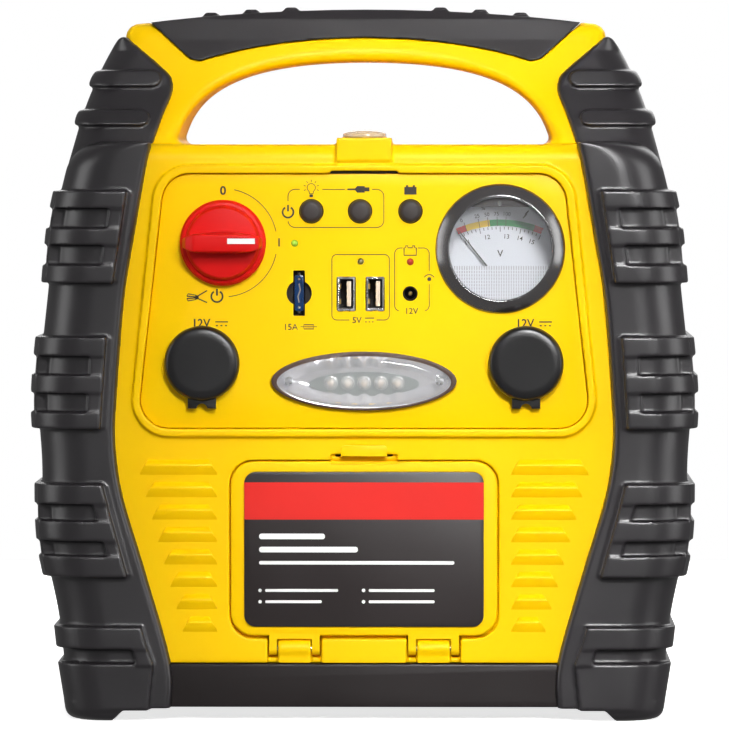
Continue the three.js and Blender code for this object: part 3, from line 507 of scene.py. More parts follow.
class Finish:
    """One procedural material under construction."""

    def __init__(self, name, rough, metal=0.0):
        self.material = bpy.data.materials.new(name)
        self.material.use_nodes = True
        self.tree = self.material.node_tree
        self.shader = self.tree.nodes["Principled BSDF"]
        self.shader.inputs["Roughness"].default_value = rough
        self.shader.inputs["Metallic"].default_value = metal
        place = self.tree.nodes.new("ShaderNodeTexCoord")
        self.place = place.outputs["Object"]
        self.height = None

    def noise(self, scale, detail=3.0, stretch=None):
        source = self.place
        if stretch:
            mapping = self.tree.nodes.new("ShaderNodeMapping")
            mapping.inputs["Scale"].default_value = stretch
            self.tree.links.new(source, mapping.inputs["Vector"])
            source = mapping.outputs["Vector"]
        noise = self.tree.nodes.new("ShaderNodeTexNoise")
        noise.inputs["Scale"].default_value = scale
        noise.inputs["Detail"].default_value = detail
        self.tree.links.new(source, noise.inputs["Vector"])
        return noise.outputs["Fac"]

    def ramp(self, source, stops):
        node = self.tree.nodes.new("ShaderNodeValToRGB")
        elements = node.color_ramp.elements
        while len(elements) < len(stops):
            elements.new(0.5)
        for element, (position, color) in zip(elements, stops):
            element.position = position
            element.color = color
        self.tree.links.new(source, node.inputs["Fac"])
        return node.outputs["Color"]

    def colour(self, dark, light, scale, low=0.35, high=0.65):
        color = self.ramp(self.noise(scale), [(low, dark), (high, light)])
        self.tree.links.new(color, self.shader.inputs["Base Color"])

    def roughness(self, low, high, scale):
        value = self.ramp(self.noise(scale), [(0.3, (low,) * 3 + (1,)), (0.7, (high,) * 3 + (1,))])
        self.tree.links.new(value, self.shader.inputs["Roughness"])

    def bump(self, source, strength, distance):
        node = self.tree.nodes.new("ShaderNodeBump")
        node.inputs["Strength"].default_value = strength
        node.inputs["Distance"].default_value = distance
        self.tree.links.new(source, node.inputs["Height"])
        if self.height is not None:
            self.tree.links.new(self.height, node.inputs["Normal"])
        self.height = node.outputs["Normal"]
        self.tree.links.new(self.height, self.shader.inputs["Normal"])


def shifted(color, factor):
    """The colour, brighter or darker by a factor."""
    return tuple(min(1, value * factor) for value in color[:3]) + (1,)


def moulded(name, color, rough, grain, depth, coat=0.0, spread=0.05, shine=0.5, coat_ior=1.5):
    """Moulded plastic or rubber: fine spark-eroded grain, and a slight unevenness of colour and gloss."""
    color = linear(color)
    finish = Finish(name, rough)
    finish.colour(shifted(color, 1 - spread), shifted(color, 1 + spread), 18)
    finish.roughness(rough * 0.9, rough * 1.12, 40)
    finish.bump(finish.noise(grain, 2.0), 0.35, depth)
    finish.shader.inputs["Specular IOR Level"].default_value = shine
    finish.shader.inputs["Coat Weight"].default_value = coat
    finish.shader.inputs["Coat Roughness"].default_value = 0.2
    finish.shader.inputs["Coat IOR"].default_value = coat_ior
    return finish.material


def metal(name, color, rough, stretch=(1, 1, 1), depth=0.00001, share=1.0):
    """Bare or plated metal; stretch draws the grain out into brush lines."""
    color = linear(color)
    finish = Finish(name, rough, share)
    finish.colour(shifted(color, 0.9), shifted(color, 1.05), 60)
    finish.roughness(rough * 0.8, rough * 1.25, 90)
    finish.bump(finish.noise(900, 2.0, stretch), 0.3, depth)
    return finish.material


def clear(name, tint, rough, alpha):
    """A thin clear wall: mostly see-through, with a glossy skin."""
    finish = Finish(name, rough)
    finish.shader.inputs["Base Color"].default_value = tint
    finish.shader.inputs["Alpha"].default_value = alpha
    finish.shader.inputs["Specular IOR Level"].default_value = 1.0
    finish.shader.inputs["Coat Weight"].default_value = 1.0
    finish.shader.inputs["Coat Roughness"].default_value = 0.03
    finish.roughness(rough, rough + 0.03, 50)
    return finish.material


YELLOW = moulded("yellow_plastic", (255, 202, 0), 0.4, 1900, 0.00002, spread=0.03, shine=0.14)
PANEL_YELLOW = moulded("yellow_panel", (255, 204, 0), 0.38, 2200, 0.000012, spread=0.02, shine=0.14)
RUBBER_BLACK = moulded("black_rubber", (34, 31, 34), 0.35, 2400, 0.00004, spread=0.12, shine=0.8)
GRIP_BLACK = moulded("black_grip", (42, 39, 41), 0.5, 2400, 0.00004, spread=0.12, shine=0.3)
CAP_RUBBER = moulded("cap_rubber", (21, 20, 21), 0.32, 2600, 0.00003, spread=0.12, shine=0.55)
BLACK = moulded("black_plastic", (35, 30, 30), 0.38, 2600, 0.00002, coat=0.1, spread=0.1, shine=0.3)
RING_BLACK = moulded("ring_black", (38, 34, 35), 0.2, 2600, 0.000003, coat=1.0, spread=0.04, shine=1.0,
                     coat_ior=2.2)
GREY_BUTTON = moulded("button_grey", (50, 43, 40), 0.4, 2600, 0.00002, spread=0.1)
RED = moulded("knob_red", (214, 14, 12), 0.42, 2400, 0.00001, spread=0.04, shine=0.2)
WHITE_PAINT = moulded("white_paint", (246, 246, 243), 0.45, 2400, 0.00001, spread=0.02)
INK = moulded("black_ink", (40, 34, 26), 0.5, 2600, 0.000005, spread=0.1)
LABEL = moulded("label_black", (42, 36, 36), 0.4, 3000, 0.000008, coat=0.1, spread=0.06, shine=0.4)
LABEL_RED = moulded("label_red", (222, 38, 30), 0.4, 3000, 0.000008, coat=0.1, spread=0.04, shine=0.3)
CARD = moulded("dial_card", (210, 213, 220), 0.6, 1500, 0.00001, spread=0.015)
BAR_BROWN = moulded("dial_bar", (96, 78, 74), 0.5, 1500, 0.00001, spread=0.06)
CAN_GREY = moulded("meter_can", (150, 148, 148), 0.45, 1500, 0.00001, spread=0.04)
SHROUD = moulded("frosted_cover", (174, 172, 177), 0.3, 1500, 0.00001, coat=0.3, spread=0.03)
TONGUE = moulded("port_tongue", (226, 206, 182), 0.5, 1800, 0.00001, spread=0.04)
NEEDLE = moulded("needle_black", (24, 22, 24), 0.5, 1800, 0.00001)
FUSE_BLUE = moulded("fuse_blue", (8, 50, 98), 0.2, 1800, 0.00001, coat=0.5, spread=0.08)
GREEN = moulded("dial_green", (4, 136, 62), 0.55, 1800, 0.000005, spread=0.03)
DIAL_YELLOW = moulded("dial_yellow", (236, 196, 30), 0.55, 1800, 0.000005, spread=0.03)
DIAL_RED = moulded("dial_red", (208, 28, 30), 0.55, 1800, 0.000005, spread=0.03)
GREEN_LAMP = moulded("green_led", (158, 208, 62), 0.15, 1200, 0.000005, coat=0.5, spread=0.1)
RED_LAMP = moulded("red_led", (166, 44, 30), 0.15, 1200, 0.000005, coat=0.5, spread=0.1)
GREY_LAMP = moulded("grey_led", (108, 98, 52), 0.15, 1200, 0.000005, coat=0.5, spread=0.1)
LED_CORE = moulded("led_core", (176, 150, 118), 0.4, 1200, 0.000005, spread=0.08)
LAMP_GREY = moulded("lamp_grey", (120, 126, 124), 0.35, 1200, 0.00001, coat=0.2, spread=0.06)
# Dark brown for the ring round the lamp: painted shade of the lamp's recessed edge.
LAMP_RIM_SHADE = moulded("lamp_rim_shade", (74, 52, 40), 0.5, 1200, 0.00001, spread=0.06)
BOARD = moulded("circuit_board", (40, 110, 66), 0.4, 700, 0.00002, coat=0.3, spread=0.12)
BATTERY = moulded("battery_case", (60, 64, 72), 0.5, 1500, 0.00003, spread=0.08)
GEAR = moulded("gear_nylon", (232, 228, 214), 0.4, 1500, 0.00002, coat=0.1, spread=0.04)
STEEL = metal("brushed_steel", (196, 198, 202), 0.28, stretch=(1, 12, 1))
ZINC = metal("plated_shell", (205, 204, 202), 0.25, stretch=(1, 6, 1))
BRASS = metal("brass", (198, 164, 104), 0.3)
CHROME = metal("chrome", (244, 243, 246), 0.16, depth=0.000004, share=0.72)
CAST = metal("cast_metal", (168, 170, 174), 0.45, depth=0.00004)
LAMP_GLASS = clear("lamp_lens", (0.98, 0.98, 0.985, 1), 0.05, 0.07)
METER_GLASS = clear("meter_glass", (0.985, 0.99, 0.995, 1), 0.05, 0.05)
GAUGE_GLASS = clear("gauge_glass", linear((226, 200, 158)), 0.06, 0.5)
LED_GLASS = clear("led_lens", (0.97, 0.97, 0.95, 1), 0.05, 0.36)


# ------------------------------------------------------------------ finishing a piece
def finish_piece(obj, name, material, replaced=None, body="pack", angle=32):
    """A solid becomes a piece in metres, with its material, on its body; it may stand for a CAD node,
    which is then hidden.
    """
    shade(obj, angle)
    obj.name = name
    obj.data.transform(Matrix.Scale(MM, 4))
    obj.data.materials.clear()
    obj.data.materials.append(material)
    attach(obj, body)
    if replaced:
        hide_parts(replaced)


# ------------------------------------------------------------------ camera, light and floor
def area_light(name, place, size, power, aim, spread=180, reflected=True):
    light = bpy.data.lights.new(name, "AREA")
    light.shape = "RECTANGLE"
    light.size, light.size_y = size
    light.energy = power
    light.spread = math.radians(spread)
    lamp = bpy.data.objects.new(name, light)
    bpy.context.collection.objects.link(lamp)
    lamp.location = place
    lamp.visible_glossy = reflected
    lamp.rotation_euler = (Vector(aim) - Vector(place)).to_track_quat("-Z", "Y").to_euler()


CAMERA_PLACE = Vector((0.042, -3.06, 0.245))
CAMERA_AIM = Vector((0.0002, -0.0625, 0.1515))
CAMERA_LENS = 348.6
FLOOR_RADIUS = 1.1


def camera_and_light():
    low, high = CAD_BOX
    middle = (low + high) / 2
    camera = bpy.data.cameras.new("camera")
    camera.sensor_width = 36
    camera.lens = CAMERA_LENS
    camera.clip_end = 50
    holder = bpy.data.objects.new("camera", camera)
    bpy.context.collection.objects.link(holder)
    holder.location = CAMERA_PLACE
    holder.rotation_euler = (CAMERA_AIM - CAMERA_PLACE).to_track_quat("-Z", "Y").to_euler()
    bpy.context.scene.camera = holder

    area_light("key", (0.16, -1.35, 0.85), (0.2, 0.7), 0.46, Vector((0.04, -0.06, 0.12)), 16)
    area_light("front", (0.9, -2.6, 1.0), (0.5, 0.4), 0.46, middle, 20)
    area_light("left", (-1.15, -0.24, 0.35), (0.55, 0.9), 3.0, middle)
    area_light("right", (1.15, -0.32, 0.35), (0.55, 0.9), 4.0, middle)
    area_light("top", (0.05, -0.85, 1.25), (0.8, 0.5), 2.2, middle, reflected=False)
    area_light("back", (0.2, 1.6, 1.0), (1.6, 1.0), 12, middle)

    world = bpy.data.worlds.new("studio")
    bpy.context.scene.world = world
    world.use_nodes = True
    nodes, links = world.node_tree.nodes, world.node_tree.links
    ambient = nodes["Background"]
    ambient.inputs["Color"].default_value = (1, 1, 1, 1)
    ambient.inputs["Strength"].default_value = 0.2
    paper = nodes.new("ShaderNodeBackground")
    paper.inputs["Color"].default_value = (1, 1, 1, 1)
    path = nodes.new("ShaderNodeLightPath")
    mix = nodes.new("ShaderNodeMixShader")
    links.new(path.outputs["Is Camera Ray"], mix.inputs[0])
    links.new(ambient.outputs[0], mix.inputs[1])
    links.new(paper.outputs[0], mix.inputs[2])
    links.new(mix.outputs[0], nodes["World Output"].inputs["Surface"])
    bpy.context.scene.view_settings.view_transform = "Standard"

    bm = bmesh.new()
    bm.faces.new([bm.verts.new((x, y, 0)) for x, y in disc(0, 0, FLOOR_RADIUS, 96)])
    floor = from_bmesh("floor", bm)
    finish = Finish("floor_pale", 0.7)
    finish.shader.inputs["Base Color"].default_value = (0.95, 0.95, 0.95, 1)
    finish.shader.inputs["Emission Color"].default_value = (1, 1, 1, 1)
    finish.shader.inputs["Emission Strength"].default_value = 0.75
    floor.data.materials.append(finish.material)
    floor.visible_glossy = False
    floor.visible_diffuse = False


# ------------------------------------------------------------------ yellow case
ROUND_STEPS = 10


def grip_band(inset, drop_by):
    """The grip pad seen from the front, its inner edges drawn in by the inset and its top lowered."""
    foot = 281.8
    slant = (93 - 75.7) / (top_arc(93) - foot)
    end = 93 - inset - slant * drop_by
    inner = 75.7 - inset
    end_top = top_arc(93) - drop_by
    lower = bezier((71, 280.6 + inset), (62, 284 + inset), (36, 290.7 + inset), (0, 290.7 + inset), 16)
    right = [(inner, foot), (end, end_top)]
    crown = [(x, top_arc(x) - drop_by) for x in (84, 72, 60, 45, 30, 15)]
    line = list(reversed(lower)) + right + crown + [(0, top_arc(0) - drop_by)]
    left = [(-u, v) for u, v in reversed(line[1:-1])]
    return line + left


def handle_outline(extra=0.0):
    """The handle and its two shoulders seen from the front."""
    shoulder = [(103.6, 291.2), (103.2, 293.4), (101.8, 295.6), (99.2, 297)]
    crown = [(x, top_arc(x) + extra) for x in (92, 75, 60, 45, 30, 15, 0)]
    line = side_line(RUBBER - extra, 238, 284) + [(x + extra, z + extra) for x, z in shoulder] + crown
    return mirrored(line)


def body_block(extra, corner):
    """The body below the handle, with round upright corners."""
    def side(z):
        if z < 228:
            return half_width(z) - RUBBER + extra
        return between([(228, half_width(228) - RUBBER), (240, 113), (BODY_TOP, 104)], z) + extra

    right = side_loft(CASE_BOTTOM - extra, BODY_TOP + extra, side, lambda z: CASE_HALF + extra,
                      lambda z: -1, corner, 2)
    return join(right, flip_x(copy_of(right)))


def handle_bar(extra, radius):
    """The yellow handle, its front and rear edges rounded by outlines that shrink towards the faces."""
    layers = []
    for k in range(ROUND_STEPS + 1 if radius else 1):
        angle = math.pi / 2 * k / ROUND_STEPS
        inset = extra - radius * (1 - math.cos(angle))
        depth = extra - radius * (1 - math.sin(angle))
        layer = cut(slab(handle_outline(inset), -FAR, FAR), slab(handle_hole(inset), -FAR - 1, FAR + 1))
        layers.append(common(layer, slice_x(handle_profile(depth, extra), -FAR, FAR)))
    return join(*layers) if radius else layers[0]


def case_block(extra, radius=0.0):
    lower = common(body_block(extra, 16), slice_x(body_profile(extra), -FAR, FAR))
    return join(lower, handle_bar(extra, radius))


def grip_seat():
    """The space that the grip pad takes round the handle."""
    core = common(slice_x(handle_profile(-4), -FAR, FAR), slab(grip_band(-2, 4), -FAR, FAR))
    return cut(slab(grip_band(0, -6), -FAR, FAR), core)


def case_shell():
    """Both halves of the yellow case in one hollow shell."""
    inside = common(body_block(-WALL, 13), block(-FAR, FAR, -FAR, FAR, 0, BODY_TOP - WALL))
    floor_opening = block(-112, 112, CASE_FRONT + WALL, CASE_REAR - WALL, CASE_BOTTOM - 1,
                          CASE_BOTTOM + WALL + 1)
    return cut(case_block(0, 6), inside, floor_opening, grip_seat())


def gill(x0, x1, z):
    """One moulded gill: a raised band, a short slope above it, a long one below, and slanted ends."""
    face, crest = CASE_FRONT + 0.4, CASE_FRONT - 1.7
    levels = [(4.4, face, z + 0.3), (3.0, crest, z - 2.2), (2.4, crest, z - 2.8),
              (0.9, crest + 1.1, z - 5.2), (0, face, z - 7.6)]
    bm = bmesh.new()
    rows = [(bm.verts.new((x0 + taper, y, height)), bm.verts.new((x1 - taper, y, height)))
            for taper, y, height in levels]
    for (a, b), (c, d) in zip(rows, rows[1:]):
        bm.faces.new((a, b, d, c))
    bm.faces.new([left for left, _ in rows])
    bm.faces.new([right for _, right in reversed(rows)])
    bm.faces.new((rows[0][0], rows[-1][0], rows[-1][1], rows[0][1]))
    return from_bmesh("gill", bm)


GILL_ROWS = 8
GILL_LOW = 44.3
GILL_PITCH = 9.55


def case_gills():
    """Moulded gills on both sides of the door."""
    gills = []
    for row in range(GILL_ROWS):
        z = GILL_LOW + row * GILL_PITCH
        outer = 77.9 + row * 2.6
        for side in (-1, 1):
            x0, x1 = sorted((side * 61.8, side * outer))
            gills.append(ease_edges(gill(x0, x1, z), 0.35, 2))
    return merge(gills)


def front_case():
    shell = common(case_shell(), block(-FAR, FAR, -FAR, MID - 0.15, -FAR, FAR))
    inside = CASE_FRONT + WALL
    door_low, door_high = box_mm("storage_door")
    bead = cut(slab(panel_outline(3.8), CASE_FRONT - 2.4, CASE_FRONT + 0.5),
               slab(panel_outline(0.3), -FAR, FAR))
    ledge = slab(panel_outline(2), PANEL_HIGH[1] + 0.3, PANEL_HIGH[1] + 2.7)
    frame_block = block(-62, 62, inside - 0.5, inside + 4.5, CASE_BOTTOM, 121)
    middle = block(-17.8, 17.8, CASE_FRONT - 0.5, CASE_FRONT + 1, CASE_BOTTOM, 34.3)
    pod = slice_x([(-32, 236), (CASE_FRONT - 0.2, 236), (CASE_FRONT - 2.4, 238.2),
                   (CASE_FRONT - 2.4, 247.8), (-32, 247.8)], -11.7, 11.7)
    body = join(shell, bead, ledge, frame_block, middle, pod)
    latch = box_mm("door_latch")[0][2]
    top = PANEL_HIGH[2]
    door_opening = tile(door_low[0] - 0.5, door_high[0] + 0.5, 34.8, door_high[2] + 0.5, -FAR,
                        CASE_FRONT + 3.4, 9.9)
    bin_opening = tile(-51, 51, 42, 105, -FAR, 20, 4)
    # The slot over the panel's top edge; the black strip set inside it later is painted shade.
    panel_top_slot = block(-14.6, 14.6, CASE_FRONT - 5, CASE_FRONT + 2.2, top - 1, top + 1.3)
    latch_slot = block(-7, 7, -FAR, inside + 5, latch + 0.4, latch + 4.4)
    thumb_recess = block(-14.2, 14.2, -FAR, CASE_FRONT + 2.3, door_high[2] - 1.4, latch + 1.0)
    latch_room = block(-13, 13, inside - 0.6, inside + 5, latch - 0.6, 122.7)
    gauge_hole = plate_z(disc(0, centre("gauge_body")[1], 8.7), 225, FAR)
    body = cut(body, slab(panel_outline(0.3), -FAR, PANEL_HIGH[1] + 0.3),
               slab(panel_outline(-4), -FAR, inside + 10),
               door_opening, bin_opening, panel_top_slot, latch_slot, thumb_recess, latch_room, gauge_hole)
    for node in ("door_pin_left", "door_pin_right"):
        x, y, z = centre(node)
        knuckle = join(slice_x(disc(y, z, 4, 32), x - 7, x + 7),
                       block(x - 7, x + 7, y, inside + 3.5, z - 3, z + 3),
                       block(x - 7, x + 7, y - 3, inside - 0.2, CASE_BOTTOM, z - 2))
        body = cut(body, block(x - 11.4, x + 11.4, -FAR, inside + 3, 26.6, 37),
                   block(x - 11.4, x + 11.4, -FAR, inside - 1, CASE_BOTTOM - 1, 27))
        body = cut(join(body, knuckle), slice_x(disc(y, z, 1.5, 20), x - 12, x + 12))
    return soften(body, 0.6, 4, 0.25)


VENT_ROWS = 6
VENT_PITCH = 5.5


def rear_case():
    body = common(case_shell(), block(-FAR, FAR, MID + 0.15, FAR, -FAR, FAR))
    for index in range(1, 5):
        x, _, z = centre(f"case_screw_{index}")
        body = join(body, rod(x, z, 5, MID + 20, CASE_REAR - 1, 24))
        body = cut(body, rod(x, z, 3.7, CASE_REAR - 6, FAR, 32), rod(x, z, 2, MID, FAR, 20))
    for row in range(VENT_ROWS):
        low = 204 + row * VENT_PITCH
        high = 206.6 + row * VENT_PITCH
        body = cut(body, tile(-30, 30, low, high, MID + 50, FAR, 1.2))
    gland = centre("lead_gland")
    hose = centre("hose_outlet")
    switch = centre("compressor_switch")
    body = cut(body, tile(-16.3, 16.3, gland[2] - 7.8, gland[2] + 7.8, MID + 50, FAR, 7.3),
               rod(hose[0], hose[2], 6.3, MID + 50, FAR, 24),
               block(switch[0] - 11.3, switch[0] + 11.3, MID + 50, FAR, switch[2] - 7.8, switch[2] + 7.8))
    return soften(body, 0.65, 4, 0.25)


# ------------------------------------------------------------------ bumpers and grip
# Each group: its ribs' bottom and top heights, then the x of their inner ends at its bottom and top.
RIB_GROUPS = [
    ([(186.1, 193.8), (202.3, 209.5), (218, 225.2)], 106.6, 100.8),
    ([(124.1, 131.3), (139.4, 147), (155.1, 163.2)], 112, 109.5),
    ([(61.2, 70.1), (76.5, 85), (92.2, 100.7)], 100.8, 111.2),
]
LOW_RIB = (30.6, 40)
UPPER_RIBS = [(269.8, 276.8, 87.6), (253.2, 259.8, 92.2)]
CORNER = 22
CORNER_STEPS = 24
FOOT_TOP = 24.5
SHOULDER = 246


def face_edge(z):
    """The inner edge of the bumper's face at a height."""
    return between([(height, x) for x, height in EDGE_LINE], z)


def side_loft(low, high, outer, half, inner, radius, step=1.5, lip=0.0):
    """A channel block along the right side: plan sections with round outer corners, stacked in height.

    A lip eases the inner edges of its front and rear faces by that width.
    """
    count = max(2, round((high - low) / step))
    bm = bmesh.new()
    rings = []
    for level in range(count + 1):
        z = low + (high - low) * level / count
        x0, x1, depth = inner(z), outer(z), half(z)
        corner = max(0.2, min(radius, depth - 1, x1 - x0 - 0.5))
        plan = [(x0, MID - depth + lip * 1.5)]
        if lip:
            plan += [(x0 + lip * 0.4, MID - depth + lip * 0.4), (x0 + lip, MID - depth)]
        turns = [math.pi / 2 * k / CORNER_STEPS for k in range(CORNER_STEPS + 1)]
        plan += [(x1 - corner + corner * math.sin(a), MID - depth + corner - corner * math.cos(a))
                 for a in turns]
        plan += [(x1 - corner + corner * math.cos(a), MID + depth - corner + corner * math.sin(a))
                 for a in turns]
        if lip:
            plan += [(x0 + lip, MID + depth), (x0 + lip * 0.4, MID + depth - lip * 0.4)]
        plan.append((x0, MID + depth - lip * 1.5))
        rings.append([bm.verts.new((x, y, z)) for x, y in plan])
    bm.faces.new(rings[0])
    bm.faces.new(list(reversed(rings[-1])))
    for ring, above in zip(rings, rings[1:]):
        wall(bm, ring, above)
    return from_bmesh("side_loft", bm)


def handle_half(z):
    """Half of the handle's depth at a height."""
    return between(HANDLE_DEPTH, z)


def ladder(ribs, end_low, end_high):
    """Ribs round the bumper, joined on the front and rear by a slanted strip and on the side by posts."""
    bottom, top = ribs[0][0], ribs[-1][1]

    def start(z):
        return end_low + (end_high - end_low) * (z - bottom) / (top - bottom)

    parts = [side_loft(z0, z1, lambda z: half_width(z) + 3.2, lambda z: RIB_HALF, start, CORNER, 2.4)
             for z0, z1 in ribs]
    parts.append(side_loft(bottom + 0.5, top - 0.5, lambda z: half_width(z) + 0.4,
                           lambda z: BUMPER_HALF + 0.6, lambda z: start(z) - 1.6, CORNER))
    strip = [(start(bottom), bottom + 1), (start(bottom) + 6, bottom + 1), (start(top) + 6, top - 1),
             (start(top), top - 1)]
    parts.append(slab(strip, MID - RIB_HALF + 0.5, MID + RIB_HALF - 0.5))
    outer = side_line(-1.3, bottom + 2, top - 2)
    post = outer + [(x - 9, z) for x, z in reversed(outer)]
    for sign in (-1, 1):
        y0, y1 = sorted((MID + sign * (RIB_HALF - 12), MID + sign * (RIB_HALF - 19)))
        parts.append(slab(post, y0, y1))
    return parts


def bumper():
    """The right bumper: a rubber channel round the case's side, with ladders of ribs on its corners."""
    def shoulder(z):
        return half_width(z) - (rounded_in(z, SHOULDER - 12, 12) if z > SHOULDER - 12 else 0)

    def foot_outer(z):
        return between([(0, 127), (FOOT_TOP, 131)], z) - (rounded_in(z, 4.5, 4.5) if z < 4.5 else 0)

    def tip(z):
        return half_width(z) - (rounded_in(z, 290.2, 1.2) if z > 290.2 else 0)

    body = side_loft(5.2, SHOULDER, shoulder, lambda z: BUMPER_HALF, face_edge, CORNER, lip=2.4)
    upper = side_loft(234, 291.3, tip, lambda z: handle_half(z) + 4, face_edge, 14, 1.0, lip=2.0)
    parts = [upper]
    for ribs, end_low, end_high in RIB_GROUPS:
        parts += ladder(ribs, end_low, end_high)
    for low, high, start in UPPER_RIBS:
        middle, radius = (low + high) / 2, (high - low) / 2
        parts.append(side_loft(low, high,
                               lambda z: half_width(z) + 2.6 - rounded_in(z, middle, radius) * 0.3,
                               lambda z: handle_half(z) + 6.4,
                               lambda z: start + rounded_in(z, middle, radius), 13, 0.8))
    low, high = LOW_RIB
    parts.append(side_loft(low, high, lambda z: half_width(z) + 2.6, lambda z: RIB_HALF,
                           lambda z: between([(low, 92.2), (high, 94.6)], z), CORNER, 2.4))
    parts.append(slab([(89.4, FOOT_TOP - 1), (96.4, FOOT_TOP - 1), (98.6, low + 1), (92.2, low + 1)],
                      MID - RIB_HALF + 0.5, MID + RIB_HALF - 0.5))
    parts.append(side_loft(4.5, FOOT_TOP, foot_outer, lambda z: RIB_HALF - 1,
                           lambda z: between([(5, 91.5), (FOOT_TOP, 89.4)], z), 18))
    for sign in (-1, 1):
        foot = side_loft(0, 8, foot_outer, lambda z: RIB_HALF - 2 - rounded_in(z, 4, 4) * (z < 4),
                         lambda z: between([(0, 107), (5.4, 101.6)], z), 16, 0.8)
        y0, y1 = sorted((MID + sign * 47, MID + sign * FAR))
        parts.append(common(foot, block(0, FAR, y0, y1, -5, 20)))
    body = triangulated(join(body, *parts))
    body = cut(body, triangulated(case_block(0.3)), base_block(0.3))
    return soften(body, 0.62, 4, 0.22)


def base_block(extra):
    """The black base under the case, made larger by extra."""
    line = side_line(RUBBER - extra, 5.6 - extra, CASE_BOTTOM - 0.3 + extra)
    return slab(mirrored(line), CASE_FRONT - 0.4 - extra, CASE_REAR + 0.4 + extra)


def base_tray():
    hollow = slab(mirrored(side_line(RUBBER + WALL, 9.2, 200)), CASE_FRONT + WALL, CASE_REAR - WALL)
    return ease_edges(cut(base_block(0), hollow), 0.8, 3)


def grip_pad():
    body = common(slab(grip_band(0.3, 0), -FAR, FAR), slice_x(handle_profile(1.2), -FAR, FAR))
    bumps = []
    for x in (32.2, 49.4, 66.8):
        for side in (-1, 1):
            top = top_arc(x) + 1.6
            bump = [(side * x - 3.6, top - 8), (side * x + 3.6, top - 8), (side * x + 3.6, top - 1.6),
                    (side * x + 2.2, top), (side * x - 2.2, top), (side * x - 3.6, top - 1.6)]
            bumps.append(slab(bump, MID - 14, MID + 14))
    core = common(slice_x(handle_profile(-3.7), -FAR, FAR), slab(grip_band(-4, 3.7), -FAR, FAR))
    return soften(cut(join(body, *bumps), core), 0.55, 4, 0.25)


def build_shell():
    finish_piece(front_case(), "case_front_shell", YELLOW, "front_case", angle=50)
    finish_piece(case_gills(), "case_gills", YELLOW)
    top = PANEL_HIGH[2]
    # A black strip deep in the slot over the panel: painted shade, standing in for the shadow inside the
    # slot.
    slot_shade = block(-14.4, 14.4, CASE_FRONT + 0.9, CASE_FRONT + 2.1, top + 0.1, top + 1.2)
    finish_piece(slot_shade, "panel_slot_shade", BLACK)
    finish_piece(rear_case(), "case_rear_shell", YELLOW, "rear_case", angle=50)
    right = bumper()
    left = flip_x(copy_of(right))
    finish_piece(right, "bumper_right", RUBBER_BLACK, "right_bumper", angle=50)
    finish_piece(left, "bumper_left", RUBBER_BLACK, "left_bumper", angle=50)
    finish_piece(grip_pad(), "handle_grip", GRIP_BLACK, "grip_pad", angle=50)
    finish_piece(base_tray(), "base", BLACK, "base_tray")


# ------------------------------------------------------------------ panel and controls
PRINT_FRONT = PANEL_FACE - 0.09
PRINT_BACK = PANEL_FACE + 0.05


def stroke(line, width, front=PRINT_FRONT, back=PRINT_BACK, closed=False):
    """A thin raised line of even width along the points (x, z)."""
    points = [Vector(point) for point in clean(line)] if closed else [Vector(point) for point in line]
    count = len(points)
    bm = bmesh.new()
    rows = []
    for index, point in enumerate(points):
        before = points[index - 1] if closed or index else point
        after = points[(index + 1) % count] if closed or index < count - 1 else point
        along = (after - before).normalized()
        side = Vector((-along.y, along.x))
        turn = 1.0
        if (point - before).length > 1e-6 and (after - point).length > 1e-6:
            bend = (point - before).normalized().dot((after - point).normalized())
            turn = 1 / max(0.55, math.sqrt((1 + bend) / 2))
        offset = side * width / 2 * turn
        rows.append([bm.verts.new((point.x + offset.x, front, point.y + offset.y)),
                     bm.verts.new((point.x - offset.x, front, point.y - offset.y)),
                     bm.verts.new((point.x - offset.x, back, point.y - offset.y)),
                     bm.verts.new((point.x + offset.x, back, point.y + offset.y))])
    for index in range(count if closed else count - 1):
        row, ahead = rows[index], rows[(index + 1) % count]
        for k in range(4):
            j = (k + 1) % 4
            bm.faces.new([row[k], ahead[k], ahead[j], row[j]])
    if not closed:
        bm.faces.new(rows[0])
        bm.faces.new(list(reversed(rows[-1])))
    return from_bmesh("stroke", bm)


def arc(x, z, radius, start, end, steps=24):
    """Points on an arc, angles in degrees from +X towards +Z."""
    return [(x + radius * math.cos(math.radians(start + (end - start) * k / steps)),
             z + radius * math.sin(math.radians(start + (end - start) * k / steps)))
            for k in range(steps + 1)]


def patch(outline):
    """A printed area."""
    return slab(outline, PRINT_FRONT, PRINT_BACK)


def lettering(text, x, z, height, front=PRINT_FRONT, back=PRINT_BACK, turn=0.0, bold=0.0):
    """Generic lettering, its middle at (x, z), lying in the XZ plane."""
    curve = bpy.data.curves.new("lettering", "FONT")
    curve.body = text
    curve.size = height / 0.7
    curve.align_x = "CENTER"
    curve.align_y = "CENTER"
    curve.extrude = (back - front) / 2
    curve.offset = bold
    curve.resolution_u = 3
    holder = bpy.data.objects.new("lettering", curve)
    bpy.context.collection.objects.link(holder)
    graph = bpy.context.evaluated_depsgraph_get()
    mesh = bpy.data.meshes.new_from_object(holder.evaluated_get(graph))
    bpy.data.objects.remove(holder)
    bpy.data.curves.remove(curve)
    mesh.transform(Matrix.Rotation(math.radians(turn), 4, "Z"))
    mesh.transform(Matrix.Rotation(math.pi / 2, 4, "X"))
    mesh.transform(Matrix.Translation((x, (front + back) / 2, z)))
    return new_object("lettering", mesh)


def power_symbol(x, z, radius, width):
    return [stroke(arc(x, z, radius, 122, 418, 28), width),
            stroke([(x, z + radius * 0.15), (x, z + radius * 1.35)], width)]


def direct_current_symbol(x, z, length, width=0.5):
    """A solid bar over three short bars."""
    marks = [stroke([(x, z + 0.8), (x + length, z + 0.8)], width)]
    for k in range(3):
        start, end = x + length * (0.04 + 0.36 * k), x + length * (0.2 + 0.36 * k)
        marks.append(stroke([(start, z - 0.8), (end, z - 0.8)], width))
    return marks


